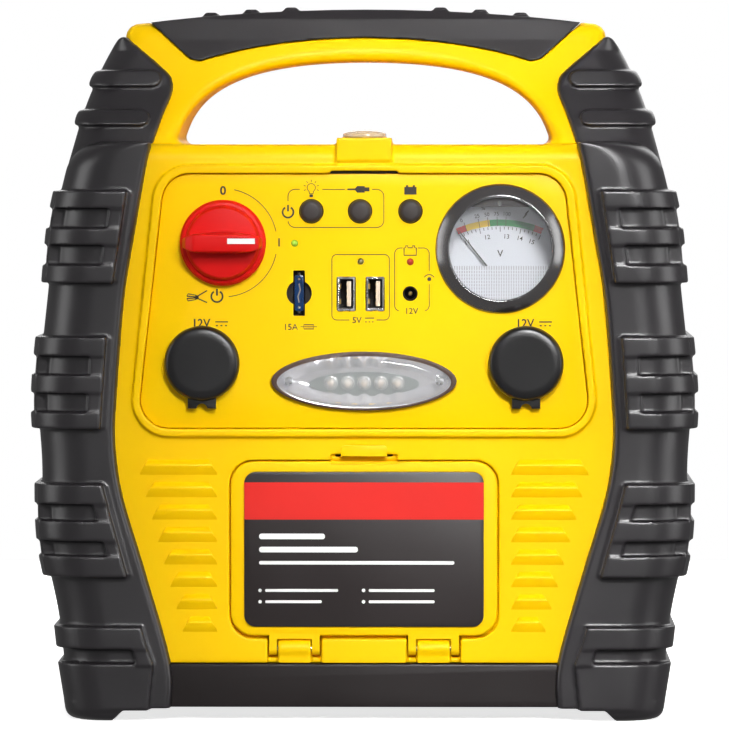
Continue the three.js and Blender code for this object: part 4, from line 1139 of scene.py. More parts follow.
def bulb_symbol(x, z):
    glass = arc(x, z, 1.75, -55, 235, 20) + [(x - 0.7, z - 2.6), (x + 0.7, z - 2.6)]
    marks = [stroke(glass, 0.32, closed=True)]
    marks.append(patch(rect(x - 0.75, x + 0.75, z - 4, z - 2.9, 0.3, 2)))
    for k in range(7):
        angle = math.radians(-20 + k * 36.7)
        marks.append(stroke([(x + 2.5 * math.cos(angle), z + 2.5 * math.sin(angle)),
                             (x + 3.4 * math.cos(angle), z + 3.4 * math.sin(angle))], 0.3))
    return marks


def plug_symbol(x, z):
    """A generic flat plug on its lead."""
    head = [(x - 2.4, z), (x - 1.2, z - 1.4), (x + 2, z - 1.4), (x + 2, z + 1.4), (x - 1.2, z + 1.4)]
    return [stroke([(x - 5.4, z), (x - 1.6, z)], 0.7), patch(head),
            patch(rect(x + 2, x + 4, z - 0.85, z + 0.85))]


def battery_symbol(x, z, filled):
    outline = [(x - 2.6, z - 1.9), (x + 2.6, z - 1.9), (x + 2.6, z + 1.3), (x + 1.9, z + 1.3),
               (x + 1.9, z + 2.1), (x + 1, z + 2.1), (x + 1, z + 1.3), (x - 1, z + 1.3), (x - 1, z + 2.1),
               (x - 1.9, z + 2.1), (x - 1.9, z + 1.3), (x - 2.6, z + 1.3)]
    return [patch(outline)] if filled else [stroke(outline, 0.35, closed=True)]


def clamp_symbol(x, z):
    """A spring clamp, jaws to the left."""
    return [stroke([(x - 4.4, z + 0.5), (x - 0.4, z + 0.2), (x + 4.2, z + 2.9)], 0.5),
            stroke([(x - 4.4, z - 0.5), (x - 0.4, z - 0.2), (x + 4.2, z - 2.2)], 0.5),
            stroke([(x - 4.4, z + 0.5), (x - 3.9, z + 1.5), (x - 0.4, z + 0.9)], 0.35),
            stroke([(x - 4.4, z - 0.5), (x - 3.9, z - 1.5), (x - 0.4, z - 0.9)], 0.35),
            patch(disc(x - 0.2, z, 0.9, 14))]


def gap_frame(x0, x1, z0, z1, radius, gaps):
    """A thin printed frame, open where a gap (x0, x1, z0, z1) covers it."""
    outline = rect(x0, x1, z0, z1, radius, 6)
    ring = []
    for (ax, az), (bx, bz) in zip(outline, outline[1:] + outline[:1]):
        length = math.hypot(bx - ax, bz - az)
        count = max(1, round(length / 0.5))
        ring += [(ax + (bx - ax) * k / count, az + (bz - az) * k / count) for k in range(count)]

    def open_here(point):
        return any(g[0] <= point[0] <= g[1] and g[2] <= point[1] <= g[3] for g in gaps)

    hidden = [open_here(point) for point in ring]
    if not any(hidden):
        return [stroke(ring, 0.35, closed=True)]
    first = hidden.index(True)
    ring = ring[first:] + ring[:first]
    runs, current = [], []
    for point in ring + ring[:1]:
        if open_here(point):
            if len(current) > 1:
                runs.append(current)
            current = []
        else:
            current.append(point)
    return [stroke(run, 0.35) for run in runs]


KNOB = centre("mode_knob")
FUSE = centre("blade_fuse")
JACK = centre("charge_jack")
METER = centre("voltmeter_bezel")
BUTTONS = {name: centre(name) for name in ("light_button", "usb_button", "battery_button")}
USB_LEFT, USB_RIGHT = centre("usb_socket_left"), centre("usb_socket_right")
USB_LED = ((USB_LEFT[0] + USB_RIGHT[0]) / 2, 195.3)
CAP_Z = 152
CAP_X = centre("socket_left")[0]


def panel_plate():
    body = ease_edges(slab(panel_outline(0), PANEL_LOW[1], PANEL_HIGH[1]), 0.5, 2)
    holes = [rod(KNOB[0], KNOB[2], 4.6, -FAR, 0, 32),
             tile(FUSE[0] - 2.5, FUSE[0] + 2.5, FUSE[2] - 9.7, FUSE[2] + 9.7, -FAR, 0, 0.5),
             rod(FUSE[0], FUSE[2], 5.4, -FAR, 0, 40), rod(JACK[0], JACK[2], 3.2, -FAR, 0, 32),
             rod(METER[0], METER[2], 25.8, -FAR, 0, 64), slab(lamp_outline(-2.4), -FAR, 0)]
    holes += [rod(x, z, 5.25, -FAR, 0, 36) for x, _, z in BUTTONS.values()]
    holes += [tile(x - 4.1, x + 4.1, z - 7.3, z + 7.3, -FAR, 0, 0.6) for x, _, z in (USB_LEFT, USB_RIGHT)]
    holes += [rod(side * CAP_X, CAP_Z, 12.8, -FAR, 0, 48) for side in (-1, 1)]
    for led in ("power_led", "charge_led"):
        x, _, z = centre(led)
        holes.append(rod(x, z, 1.55, -FAR, 0, 20))
    holes.append(rod(*USB_LED, 1.45, -FAR, 0, 20))
    return cut(body, *holes)


def panel_print():
    knob_x, knob_z = KNOB[0], KNOB[2]
    light, usb, battery = (BUTTONS[name] for name in ("light_button", "usb_button", "battery_button"))
    reach = 23
    marks = [stroke(arc(knob_x, knob_z, reach, 78, 12), 0.35),
             stroke(arc(knob_x, knob_z, reach, -12, -84), 0.35)]
    marks.append(lettering("0", knob_x, knob_z + 22, 3.6, bold=0.12))
    marks.append(lettering("I", knob_x + reach + 0.8, knob_z, 3.4, bold=0.12))
    marks += clamp_symbol(knob_x - 11, knob_z - 23.2)
    marks += power_symbol(knob_x - 2.6, knob_z - 22.8, 2.4, 0.75)
    left, top = light[0] - 9.9, light[2] + 9.3
    marks += gap_frame(left, usb[0] + 10.1, light[2] - 6.9, top, 3,
                       [(light[0] - 4.6, light[0] + 4.6, top - 1, top + 1),
                        (usb[0] - 6.4, usb[0] + 4.8, top - 1, top + 1),
                        (left - 1, left + 1, light[2] - 4.2, light[2] + 4.2)])
    marks += bulb_symbol(light[0], light[2] + 10)
    marks += plug_symbol(usb[0], top)
    marks += power_symbol(left, light[2] - 0.4, 2.3, 0.75)
    marks += battery_symbol(battery[0], light[2] + 9, True)
    marks.append(lettering("15A", FUSE[0] - 3.6, 167.3, 2.6, bold=0.04))
    marks += [stroke([(FUSE[0] + 0.6, 167.5), (FUSE[0] + 7.6, 167.5)], 0.32),
              stroke(rect(FUSE[0] + 2, FUSE[0] + 6.2, 166.6, 168.4), 0.32, closed=True)]
    middle = (USB_LEFT[0] + USB_RIGHT[0]) / 2
    foot = USB_LEFT[2] - 11.1
    marks += gap_frame(middle - 12.2, middle + 12.2, foot, USB_LEFT[2] + 16.7, 2,
                       [(middle - 4.6, middle + 6.6, foot - 1, foot + 1)])
    marks.append(lettering("5V", middle - 1.6, foot - 0.2, 2.5, bold=0.05))
    marks += direct_current_symbol(middle + 1.8, foot, 4, 0.4)
    right, top, low = JACK[0] + 8.1, JACK[2] + 19.4, JACK[2] - 7.4
    marks += gap_frame(JACK[0] - 6.6, right, low, top, 2.4,
                       [(JACK[0] - 3, JACK[0] + 3, top - 1, top + 1),
                        (JACK[0] - 4.8, JACK[0] + 5.8, low - 1, low + 1),
                        (right - 1, right + 1, JACK[2] + 4.4, JACK[2] + 9)])
    marks += battery_symbol(JACK[0], top - 1.2, False)
    marks += [patch(disc(right, JACK[2] + 6.2, 0.85, 16)),
              stroke(arc(right, JACK[2] + 5.7, 2.4, 30, 150, 12), 0.4)]
    marks.append(lettering("12V", JACK[0] + 0.5, low - 0.1, 2.5, bold=0.04))
    for side in (-1, 1):
        marks.append(lettering("12V", side * CAP_X - 0.5, CAP_Z + 16.9, 3.4, bold=0.08))
        marks += direct_current_symbol(side * CAP_X + 5.6, CAP_Z + 16.8, 5.4)
    return merge(marks)


def knob():
    x, _, z = KNOB
    skirt = soft_turned([(0, -48), (4, -48), (4, -62.5), (18.3, -62.5), (18.3, -65.0), (17.2, -66.6),
                         (15.9, -66.8), (15.5, -68.6), (14.6, -70.2), (0, -70.9)], 0.5, (x, 0, z))
    outline = [(-16.9, -2.0), (-13, -3.6), (-6, -4.6), (0, -4.9), (6, -4.6), (13, -3.6), (16.9, -2.0)]
    outline += [(u, -v) for u, v in reversed(outline)]
    bar = slab([(x + u, z + v) for u, v in outline], -80, -66)
    top = [(-16.9, -71.5), (-15.6, -77.5), (-12, -80), (12, -80), (15.6, -77.5), (16.9, -71.5),
           (16.9, -60), (-16.9, -60)]
    bar = common(bar, plate_z([(x + u, y) for u, y in top], z - 10, z + 10))
    wedge = slice_x([(-60, z - 6.2), (-80.1, z - 3.6), (-80.1, z + 3.6), (-60, z + 6.2)], x - 20, x + 20)
    bar = ease_edges(common(bar, wedge), 0.7, 3)
    body = join(skirt, bar)
    return cut(body, tile(x + 2.2, x + 14.2, z - 0.4, z + 2.2, -80.5, -79.4))


def button(name):
    x, _, z = BUTTONS[name]
    return soft_turned([(0, -64.75), (3.2, -64.65), (4.5, -64.0), (4.9, -63.0), (4.9, -58.6),
                        (6.2, -58.6), (6.2, -56.4), (0, -56.4)], 0.5, (x, 0, z), segments=48)


def led_nose(radius, tip, rise):
    """The profile of a round-nosed LED, from its tip to its side."""
    turns = [math.pi / 2 * k / 8 for k in range(9)]
    return [(radius * math.sin(a), tip + rise * (1 - math.cos(a))) for a in turns]


def dome_led(x, z, radius, flange=True):
    """A round status light, with a flange behind the panel or a plain foot."""
    profile = led_nose(radius, -63.1, radius * 0.8)
    if flange:
        profile += [(radius, -59.3), (radius + 0.6, -59.3), (radius + 0.6, -56.8), (0, -56.8)]
    else:
        profile += [(radius, -58), (0, -58)]
    return turned(profile, (x, 0, z), segments=32)


def usb_port(name, x, z):
    front, back = -62.3, -47.4
    shell = cut(tile(x - 3.7, x + 3.7, z - 7.0, z + 7.0, front, back, 0.7),
                tile(x - 3.0, x + 3.0, z - 6.3, z + 6.3, front - 1, back - 1.5, 0.4))
    lips = []
    for middle in (z - 6.9, z + 6.9):
        lips.append(cut(tile(x - 3.7, x + 3.7, middle - 0.4, middle + 0.4, front - 0.5, front + 0.4, 0.3),
                        tile(x - 1.2, x + 1.2, z - 9, z + 9, front - 2, front + 2)))
    shell = merge([ease_edges(shell, 0.18, 2)] + lips)
    finish_piece(shell, f"{name}_shell", ZINC, name)
    tongue = ease_edges(tile(x + 0.3, x + 2.1, z - 5.3, z + 5.3, front + 0.9, back - 1, 0.2), 0.2, 2)
    finish_piece(tongue, f"{name}_tongue", TONGUE)
    fingers = [tile(x + 0.05, x + 0.3, middle - 0.5, middle + 0.5, front + 1.6, front + 9)
               for middle in (z - 3.9 + k * 2.6 for k in range(4))]
    springs = [tile(x - 3.1, x - 2.2, middle - 1.1, middle + 1.1, front + 1.2, front + 4, 0.3)
               for middle in (z - 3.2, z + 3.2)]
    finish_piece(merge(fingers + springs), f"{name}_contacts", BRASS)
    lining = cut(tile(x - 3.0, x + 3.0, z - 6.3, z + 6.3, front + 3, back - 1.6),
                 tile(x - 2.6, x + 2.6, z - 5.9, z + 5.9, front - 1, back - 2))
    finish_piece(lining, f"{name}_lining", BLACK)


def fuse():
    """A blade fuse with its two test holes and its link."""
    x, _, z = FUSE
    body = ease_edges(tile(x - 2.0, x + 2.0, z - 7.6, z + 7.6, -61.5, -55.2, 1.1), 0.3, 2)
    body = cut(body, tile(x - 1.3, x + 1.3, z - 4.4, z + 4.4, -63, -60.8, 0.8),
               rod(x, z + 6, 0.75, -63, -61.0, 16), rod(x, z - 6, 0.75, -63, -61.0, 16))
    finish_piece(body, "fuse_body", FUSE_BLUE, "blade_fuse", body="blade_fuse")
    blades = [tile(x - 0.4, x + 0.4, z + side * 6 - 2.6, z + side * 6 + 2.6, -55.3, -44.3, 0.3)
              for side in (-1, 1)]
    blades += [rod(x, z + side * 6, 0.55, -61.3, -60.9, 12) for side in (-1, 1)]
    link = [(x, z - 4), (x - 0.5, z - 1.4), (x + 0.5, z + 1.4), (x, z + 4)]
    blades.append(stroke(link, 0.6, -60.95, -60.7))
    finish_piece(merge(blades), "fuse_blades", ZINC, body="blade_fuse")


def jack():
    """The round charging jack and its centre pin."""
    x, _, z = JACK
    barrel = soft_turned([(2.5, -52), (2.5, -61.4), (2.8, -61.8), (3.0, -61.6), (3.0, -59.4),
                          (5.4, -59.4), (5.4, -50.2), (0, -50.2), (0, -52)], 0.2, (x, 0, z), segments=40)
    finish_piece(barrel, "charge_jack_barrel", BLACK, "charge_jack")
    pin = soft_turned([(0, -61.4), (0.6, -61.4), (0.9, -60.8), (0.9, -51.9), (0, -51.9)], 0.2, (x, 0, z),
                      segments=20)
    finish_piece(pin, "charge_jack_pin", BRASS)


def build_panel():
    finish_piece(panel_plate(), "panel_plate", PANEL_YELLOW, "control_panel")
    finish_piece(panel_print(), "panel_print", INK)
    finish_piece(knob(), "mode_dial", RED, "mode_knob", body="mode_knob")
    x, _, z = KNOB
    mark = tile(x + 2.35, x + 14.05, z - 0.25, z + 2.05, -79.95, -79.3)
    finish_piece(mark, "mode_dial_mark", WHITE_PAINT, body="mode_knob")
    for name in BUTTONS:
        finish_piece(button(name), f"{name}_cap", GREY_BUTTON, name, body=name)
    for name, material in (("power_led", GREEN_LAMP), ("charge_led", RED_LAMP)):
        x, _, z = centre(name)
        finish_piece(dome_led(x, z, 1.4), f"{name}_dome", material, name)
    finish_piece(dome_led(*USB_LED, 1.25, False), "usb_led_dome", GREY_LAMP)
    usb_port("usb_socket_left", USB_LEFT[0], USB_LEFT[2])
    usb_port("usb_socket_right", USB_RIGHT[0], USB_RIGHT[2])
    fuse()
    jack()


# ------------------------------------------------------------------ voltmeter
DIAL_FACE = -45.6
ARC_LOW = 35.0
BAND_RADIUS = 45.9
BAND_WIDTH = 2.7
# The coloured bands: name, start and end angle, finish.
DIAL_BANDS = [
    ("low", 113.6, 108.6, DIAL_RED),
    ("fair", 108.6, 95.6, DIAL_YELLOW),
    ("good", 95.6, 71.6, GREEN),
    ("high", 71.6, 67, DIAL_RED),
]
RIB_PITCH = 1.05


def dial_band(start, end):
    """A band on the dial: part of a ring round the scale's own centre, far below the window."""
    x, z = METER[0], METER[2] - ARC_LOW
    inner = arc(x, z, BAND_RADIUS - BAND_WIDTH / 2, start, end, 20)
    outer = arc(x, z, BAND_RADIUS + BAND_WIDTH / 2, start, end, 20)
    return slab(inner + list(reversed(outer)), DIAL_FACE - 0.12, DIAL_FACE + 0.05)


def scale_point(radius, angle):
    """A point on the dial, at a radius and an angle round the scale's own centre."""
    return (METER[0] + radius * math.cos(math.radians(angle)),
            METER[2] - ARC_LOW + radius * math.sin(math.radians(angle)))


def dial_print():
    """Ticks and numbers of a generic battery voltmeter."""
    y0, y1 = DIAL_FACE - 0.14, DIAL_FACE + 0.03
    marks = []
    for k in range(21):
        angle = 113 - 46 * k / 20
        length = 2.2 if k % 5 == 0 else 1.2
        marks.append(stroke([scale_point(44.2, angle), scale_point(44.2 - length, angle)], 0.3, y0, y1))
    for text, angle in (("11", 110.5), ("12", 98), ("13", 86.2), ("14", 78), ("15", 70.5)):
        x, z = scale_point(40, angle)
        marks.append(lettering(text, x, z, 1.9, y0, y1, turn=angle - 90, bold=0.02))
    for text, angle in (("0", 109.5), ("25", 101.5), ("50", 96.6), ("75", 91.8), ("100", 86.8)):
        x, z = scale_point(49.6, angle)
        marks.append(lettering(text, x, z, 1.6, y0, y1, turn=angle - 90, bold=0.01))
    for angle in (108.6, 101.2, 96.4, 91.6, 87):
        marks.append(stroke([scale_point(48.4, angle), scale_point(44.4, angle)], 0.25, y0 - 0.02, y1))
    x, z = scale_point(50.6, 77.5)
    marks.append(stroke([(x - 1.2, z - 1.6), (x + 0.3, z + 0.1), (x - 0.3, z - 0.1), (x + 1.2, z + 1.6)],
                        0.4, y0, y1))
    x, z = scale_point(52.6, 98)
    marks.append(lettering("%", x, z, 1.9, y0, y1, turn=8, bold=0.02))
    marks.append(lettering("V", METER[0], METER[2] - 2.4, 2.8, y0, y1, bold=0.05))
    return merge(marks)


def meter_body():
    """The bezel, the clear window, the can, and the printed dial with the bar over its top."""
    x, _, z = METER
    bezel = [(21.8, -62.6), (21.7, -65.9), (22.0, -66.6), (22.4, -66.8), (22.9, -66.6), (26.7, -63.5),
             (27.4, -63.0), (27.6, -62.5)]
    finish_piece(turned(bezel, (x, 0, z), segments=96), "voltmeter_ring", RING_BLACK, "voltmeter_bezel",
                 angle=60)
    pane = turned([(0, -64.9), (21.9, -64.7), (21.9, -63.9), (0, -63.9)], (x, 0, z), segments=96)
    finish_piece(pane, "voltmeter_window", METER_GLASS, "voltmeter_lens")
    can = turned([(24.2, -62.2), (25.5, -62.2), (25.5, -42.2), (0, -42.2), (0, -43.6), (24.2, -43.6)],
                 (x, 0, z), segments=72)
    finish_piece(can, "voltmeter_can", CAN_GREY, "voltmeter_case")
    card = turned([(0, DIAL_FACE), (23.6, DIAL_FACE), (23.6, DIAL_FACE + 1), (0, DIAL_FACE + 1)],
                  (x, 0, z), segments=72)
    finish_piece(card, "dial_card", CARD, "voltmeter_dial")
    for name, start, end, material in DIAL_BANDS:
        finish_piece(dial_band(start, end), f"dial_band_{name}", material)
    finish_piece(dial_print(), "dial_print", INK)
    bar = common(tile(x - 24, x + 24, z + 17.6, z + 23, DIAL_FACE - 3.4, DIAL_FACE - 0.2),
                 rod(x, z, 23.4, -FAR, 0, 64))
    finish_piece(ease_edges(bar, 0.4, 2), "dial_top_bar", BAR_BROWN)
    screw = soft_turned([(0, -49.9), (0.9, -49.8), (1.1, -49.2), (1.1, -48.8), (0, -48.8)], 0.2,
                        (x - 0.4, 0, z + 19.2), segments=20)
    finish_piece(screw, "dial_top_screw", ZINC)


def meter_needle():
    """A slim tapered blade on its hub, leaning to the left of the dial at rest."""
    x, _, z = METER
    pivot = z - 14.8
    lean = math.radians(38.4)
    front = box_mm("voltmeter_needle")[0][1]
    tip = 29.2
    across = Vector((math.cos(lean), math.sin(lean)))
    along = Vector((-math.sin(lean), math.cos(lean)))
    base = Vector((x, pivot))
    blade = [base - along * 4 - across * 0.55, base - along * 4 + across * 0.55, base + across * 0.42,
             base + along * (tip - 1.5) + across * 0.2, base + along * tip,
             base + along * (tip - 1.5) - across * 0.2, base - across * 0.42]
    hub = soft_turned([(0, front + 0.1), (2.4, front + 0.2), (2.4, -44.4), (0, -44.4)], 0.3,
                      (x, 0, pivot), segments=32)
    needle = merge([slab([tuple(point) for point in blade], -48.2, -47.6), hub])
    finish_piece(needle, "voltmeter_pointer", NEEDLE, "voltmeter_needle", body="voltmeter_needle")


def meter_cover():
    """The frosted lower cover over the movement, with fine upright ribs and crossbars."""
    x, _, z = METER
    top = z - 7.5
    cover = common(tile(x - 24, x + 24, z - 24, top, -52.0, -50.7), rod(x, z, 23.4, -FAR, 0, 72))
    ribs = []
    for k in range(-21, 22):
        rib = k * RIB_PITCH
        half = math.sqrt(max(0.1, 23.0 ** 2 - rib ** 2))
        if z - half < top - 1:
            ribs.append(tile(x + rib - 0.3, x + rib + 0.3, z - half, top, -52.6, -51.9))
    crossbars = [common(tile(x - 24, x + 24, z - 9.6 - row * 1.4, z - 9.2 - row * 1.4, -52.3, -51.9),
                        rod(x, z, 23, -FAR, 0, 48)) for row in range(9)]
    finish_piece(cover, "voltmeter_cover", SHROUD, "voltmeter_shroud", angle=20)
    finish_piece(merge(ribs + crossbars), "voltmeter_cover_ribs", CARD, angle=20)


def build_voltmeter():
    meter_body()
    meter_needle()
    meter_cover()


# ------------------------------------------------------------------ 12 V outlets and their caps
def outlet(side, name):
    """A 12 V accessory socket: barrel, steel liner and centre contact."""
    x = side * CAP_X
    barrel = soft_turned([(10.5, -25.5), (10.5, -63.2), (11.2, -63.7), (14.4, -63.7), (15, -63.2),
                          (15, -62.5), (12.5, -62.5), (12.5, -59), (12.5, -23.2), (0, -23.2), (0, -25.5)],
                         0.15, (x, 0, CAP_Z), segments=72)
    finish_piece(barrel, f"{name}_barrel", BLACK, name)
    liner = turned([(10.45, -27), (10.45, -61), (10.1, -61), (10.1, -27)], (x, 0, CAP_Z), segments=72)
    finish_piece(liner, f"{name}_liner", STEEL)
    contact = soft_turned([(0, -29.5), (1.8, -29.3), (3.2, -27.6), (3.4, -25.4), (0, -25.4)], 0.4,
                          (x, 0, CAP_Z), segments=32)
    finish_piece(contact, f"{name}_contact", BRASS)


def cap(side, name):
    """A rubber flip cap with its plug ring, its strap and two hinge rods."""
    x = side * CAP_X
    lid = turned([(0, -69.15), (11, -69.2), (14.0, -69.15), (14.9, -68.7), (15.6, -67.6), (16, -66.0),
                  (15.9, -64.0), (9.6, -64.0), (9.6, -61.6), (9.2, -61.4), (7.2, -61.4), (7, -61.6),
                  (7, -66.2), (0, -66.2)], (x, 0, CAP_Z), segments=96)
    strap = ease_edges(tile(x - 6, x + 6, 132.9, 140, -66.6, -64.1, 0.4), 0.4, 2)
    strap = cut(strap, rod(x, 132.6, 2.4, -FAR, 0, 32))
    rods = [slice_x(disc(-64.4, 134.3, 1.55, 24), x0, x1)
            for x0, x1 in ((x - 6, x - 2.6), (x + 2.6, x + 6))]
    finish_piece(join(lid, strap, *rods), f"{name}_rubber", CAP_RUBBER, name, body=name, angle=40)


def build_outlets():
    for side, hand in ((-1, "left"), (1, "right")):
        outlet(side, f"socket_{hand}")
        cap(side, f"socket_cap_{hand}")


# ------------------------------------------------------------------ lamp
LED_PITCH = 7.1
LAMP_LEDS = [LED_PITCH * (k - 2) for k in range(5)]


def lamp_skin(rings, steps, thickness, offset, flute=lambda extra, x: 0.0):
    """A thin dish or lens: rings (extra, y) of the lamp's outline, closed at the last one."""
    bm = bmesh.new()
    layers = [[bm.verts.new((x, y - flute(extra, x), z)) for x, z in lamp_outline(extra, steps)]
              for extra, y in rings]
    for layer, ahead in zip(layers, layers[1:]):
        for k in range(len(layer)):
            j = (k + 1) % len(layer)
            bm.faces.new([layer[k], layer[j], ahead[j], ahead[k]])
    bm.faces.new(layers[-1])
    dish = from_bmesh("dish", bm)
    skin = dish.modifiers.new("skin", "SOLIDIFY")
    skin.thickness = thickness
    skin.offset = offset
    return apply_modifiers(dish)


def lamp_bowl():
    """A chromed dish, fluted above and below the LEDs."""
    def flute(extra, x):
        if extra >= -1.5 or abs(x) >= 21:
            return 0.0
        return 0.9 * math.cos(2 * math.pi * x / LED_PITCH) * (1 - abs(x) / 24)

    rings = [(0.0, -63.7), (-0.9, -63.7), (-1.4, -63.2), (-2.6, -61.6), (-4.2, -59.6), (-5.8, -58.0),
             (-6.6, -57.2)]
    return lamp_skin(rings, 40, 0.6, 0, flute)


def build_lamp():
    # A dark brown ring round the lens: painted shade, standing in for the shadow gap at the lamp's edge;
    # it is wider at the top, where that shadow falls.
    rim_shade = cut(slab(lamp_outline(0.3), -65.0, -62.0),
                 slab([(x, z - 0.45) for x, z in lamp_outline(-1.2)], -FAR, FAR))
    rim_shade = ease_edges(rim_shade, 0.2, 2)
    finish_piece(rim_shade, "lamp_rim_shade", LAMP_RIM_SHADE)
    finish_piece(lamp_bowl(), "lamp_dish", CHROME, "lamp_reflector", angle=60)
    rings = [(-1.8, -64.5), (-1.9, -65.6), (-2.6, -66.6), (-4.2, -67.1), (-8.4, -67.2)]
    lens = lamp_skin(rings, 24, 0.7, 1)
    finish_piece(lens, "lamp_cover", LAMP_GLASS, "lamp_lens", angle=60)
    plate = [(x * 0.63, LAMP_Z - 1.4 + (z - LAMP_Z) * 0.46) for x, z in lamp_outline(-1)]
    finish_piece(slab(plate, -58.2, -57.0), "lamp_plate", LAMP_GREY)
    leds, cores = [], []
    for x in LAMP_LEDS:
        profile = led_nose(2.6, -61.9, 2.2)
        profile += [(2.6, -58.5), (3.0, -58.4), (3.0, -57.6), (0, -57.6)]
        leds.append(turned(profile, (x, 0, LAMP_Z - 1.1), segments=32))
        cores.append(soft_turned([(0, -59.7), (1.3, -59.8), (1.5, -58.9), (1.5, -58.0), (0, -58.0)], 0.2,
                                 (x, 0, LAMP_Z - 1.1), segments=24))
    finish_piece(merge(leds), "lamp_leds", LED_GLASS, "lamp_board", angle=60)
    finish_piece(merge(cores), "lamp_led_cores", LED_CORE)
    for name in ("lamp_screw_left", "lamp_screw_right"):
        x, _, z = centre(name)
        head = soft_turned([(0, -66.8), (1.1, -66.7), (1.8, -66.2), (1.9, -65.6), (1.9, -64.2),
                            (1.1, -64.2), (1.1, -53.3), (0, -53.3)], 0.2, (x, 0, z), segments=32)
        head = cut(head, tile(x - 1.3, x + 1.3, z - 0.28, z + 0.28, -67, -66.2))
        head = cut(head, tile(x - 0.28, x + 0.28, z - 1.3, z + 1.3, -67, -66.2))
        finish_piece(head, f"{name}_head", STEEL, name)


# ------------------------------------------------------------------ storage door, label and latch
DOOR_LOW, DOOR_HIGH = box_mm("storage_door")
HINGES = [centre("door_pin_left"), centre("door_pin_right")]


def door():
    front, back = DOOR_LOW[1], DOOR_HIGH[1]
    bottom = 36
    panel = ease_edges(tile(DOOR_LOW[0], DOOR_HIGH[0], bottom, DOOR_HIGH[2], front, front + 3.5, 9.8, 8),
                       1.0, 3)
    seat = tile(-51.2, 51.2, 39.7, 106.1, front - 1, front + 0.35, 5)
    body = cut(panel, seat, block(-14.3, 14.3, -FAR, front + 2.6, DOOR_HIGH[2] - 1.3, FAR))
    stiffener = cut(tile(-49.5, 49.5, 43, 104, front + 3.2, back, 3.5),
                    tile(-47, 47, 45.5, 101.5, -FAR, 0, 2))
    body = join(body, stiffener)
    for x, y, z in HINGES:
        for side in (-1, 1):
            cx = x + side * 9.1
            leaf = tile(cx - 1.65, cx + 1.65, z - 0.5, 38, front, y + 2.6, 0.3)
            knuckle = slice_x(disc(y, z, 2.95, 32), cx - 1.65, cx + 1.65)
            body = join(body, leaf, knuckle)
        body = join(body, tile(x - 10.7, x + 10.7, z + 4.2, 38, front, front + 3.4, 0.3))
        body = cut(body, slice_x(disc(y, z, 1.45, 20), x - 12, x + 12))
    return body


def label_marks():
    """Plain white bars and dots where the label has its wording, with no lettering."""
    front, back = LABEL_FRONT - 0.09, LABEL_FRONT + 0.05
    marks = []
    for row, (width, half) in enumerate(((28, 1.2), (42, 1.2), (83, 0.75))):
        z = 78.4 - row * 5.6
        marks.append(tile(-44.6, -44.6 + width, z - half, z + half, front, back, half * 0.9))
    for column, x in enumerate((-44.2, -0.2)):
        for row, width in enumerate(((31, 24), (28, 28))[column]):
            z = 55.4 - row * 4.8
            marks.append(rod(x, z, 0.75, front, back, 16))
            marks.append(tile(x + 2.2, x + 2.2 + width, z - 0.6, z + 0.6, front, back, 0.5))
    return merge(marks)


LABEL_LOW, LABEL_HIGH = box_mm("door_label")
LABEL_FRONT = LABEL_LOW[1]


def build_door():
    finish_piece(door(), "door_panel", YELLOW, "storage_door", body="door")
    plate = ease_edges(tile(LABEL_LOW[0], LABEL_HIGH[0], LABEL_LOW[2], LABEL_HIGH[2], LABEL_FRONT, -61.9,
                            4.7, 8), 0.2, 2)
    finish_piece(plate, "door_plate", LABEL, "door_label", body="door")
    band = tile(LABEL_LOW[0] + 0.05, LABEL_HIGH[0] - 0.05, 85.6, 101.4, LABEL_FRONT - 0.07,
                LABEL_FRONT + 0.05)
    finish_piece(band, "door_plate_band", LABEL_RED, body="door")
    finish_piece(label_marks(), "door_plate_marks", WHITE_PAINT, body="door")
    for node in ("door_pin_left", "door_pin_right"):
        x, y, z = centre(node)
        pin = soft_turned([(0, -10.6), (1.2, -10.6), (1.2, 10.6), (0, 10.6)], 0.3, (x, y, z), "x", 24)
        finish_piece(pin, f"{node}_rod", STEEL, node)
    low, high = box_mm("door_latch")
    tongue = tile(-6.6, 6.6, low[2] + 0.5, low[2] + 2.2, low[1], high[1] - 2, 0.6)
    thumb = slab(mirrored([(9.8, low[2] + 0.1), (9.8, low[2] + 3.4), (9.3, low[2] + 4.2),
                           (8.4, low[2] + 4.7)]), low[1], low[1] + 1.8)
    inner = tile(-10, 10, low[2] + 1, high[2], high[1] - 2.2, high[1], 0.6)
    finish_piece(ease_edges(join(tongue, thumb, inner), 0.35, 2), "latch_tab", YELLOW, "door_latch",
                 body="door_latch")
    bin_box = cut(tile(-50.4, 50.4, 42, 105, -54.0, -22, 4), tile(-48, 48, 44.4, 102.6, -FAR, -24.4, 2.5))
    flange = cut(tile(-58, 58, 38, 109, -54.1, -52.4, 5), tile(-48, 48, 44.4, 102.6, -FAR, 0, 2.5))
    finish_piece(ease_edges(join(bin_box, flange), 0.5, 2), "bin_tub", BLACK, "storage_bin")


# ------------------------------------------------------------------ air gauge
def gauge_plate(points, degrees, low, high):
    """A flat shape over the gauge's card: points are (outwards, across) at an angle round its middle."""
    x, y, _ = centre("gauge_body")
    angle = math.radians(degrees)
    out, across = Vector((math.cos(angle), math.sin(angle))), Vector((-math.sin(angle), math.cos(angle)))
    spots = [out * u + across * v for u, v in points]
    return plate_z([(x + spot.x, y + spot.y) for spot in spots], low, high)


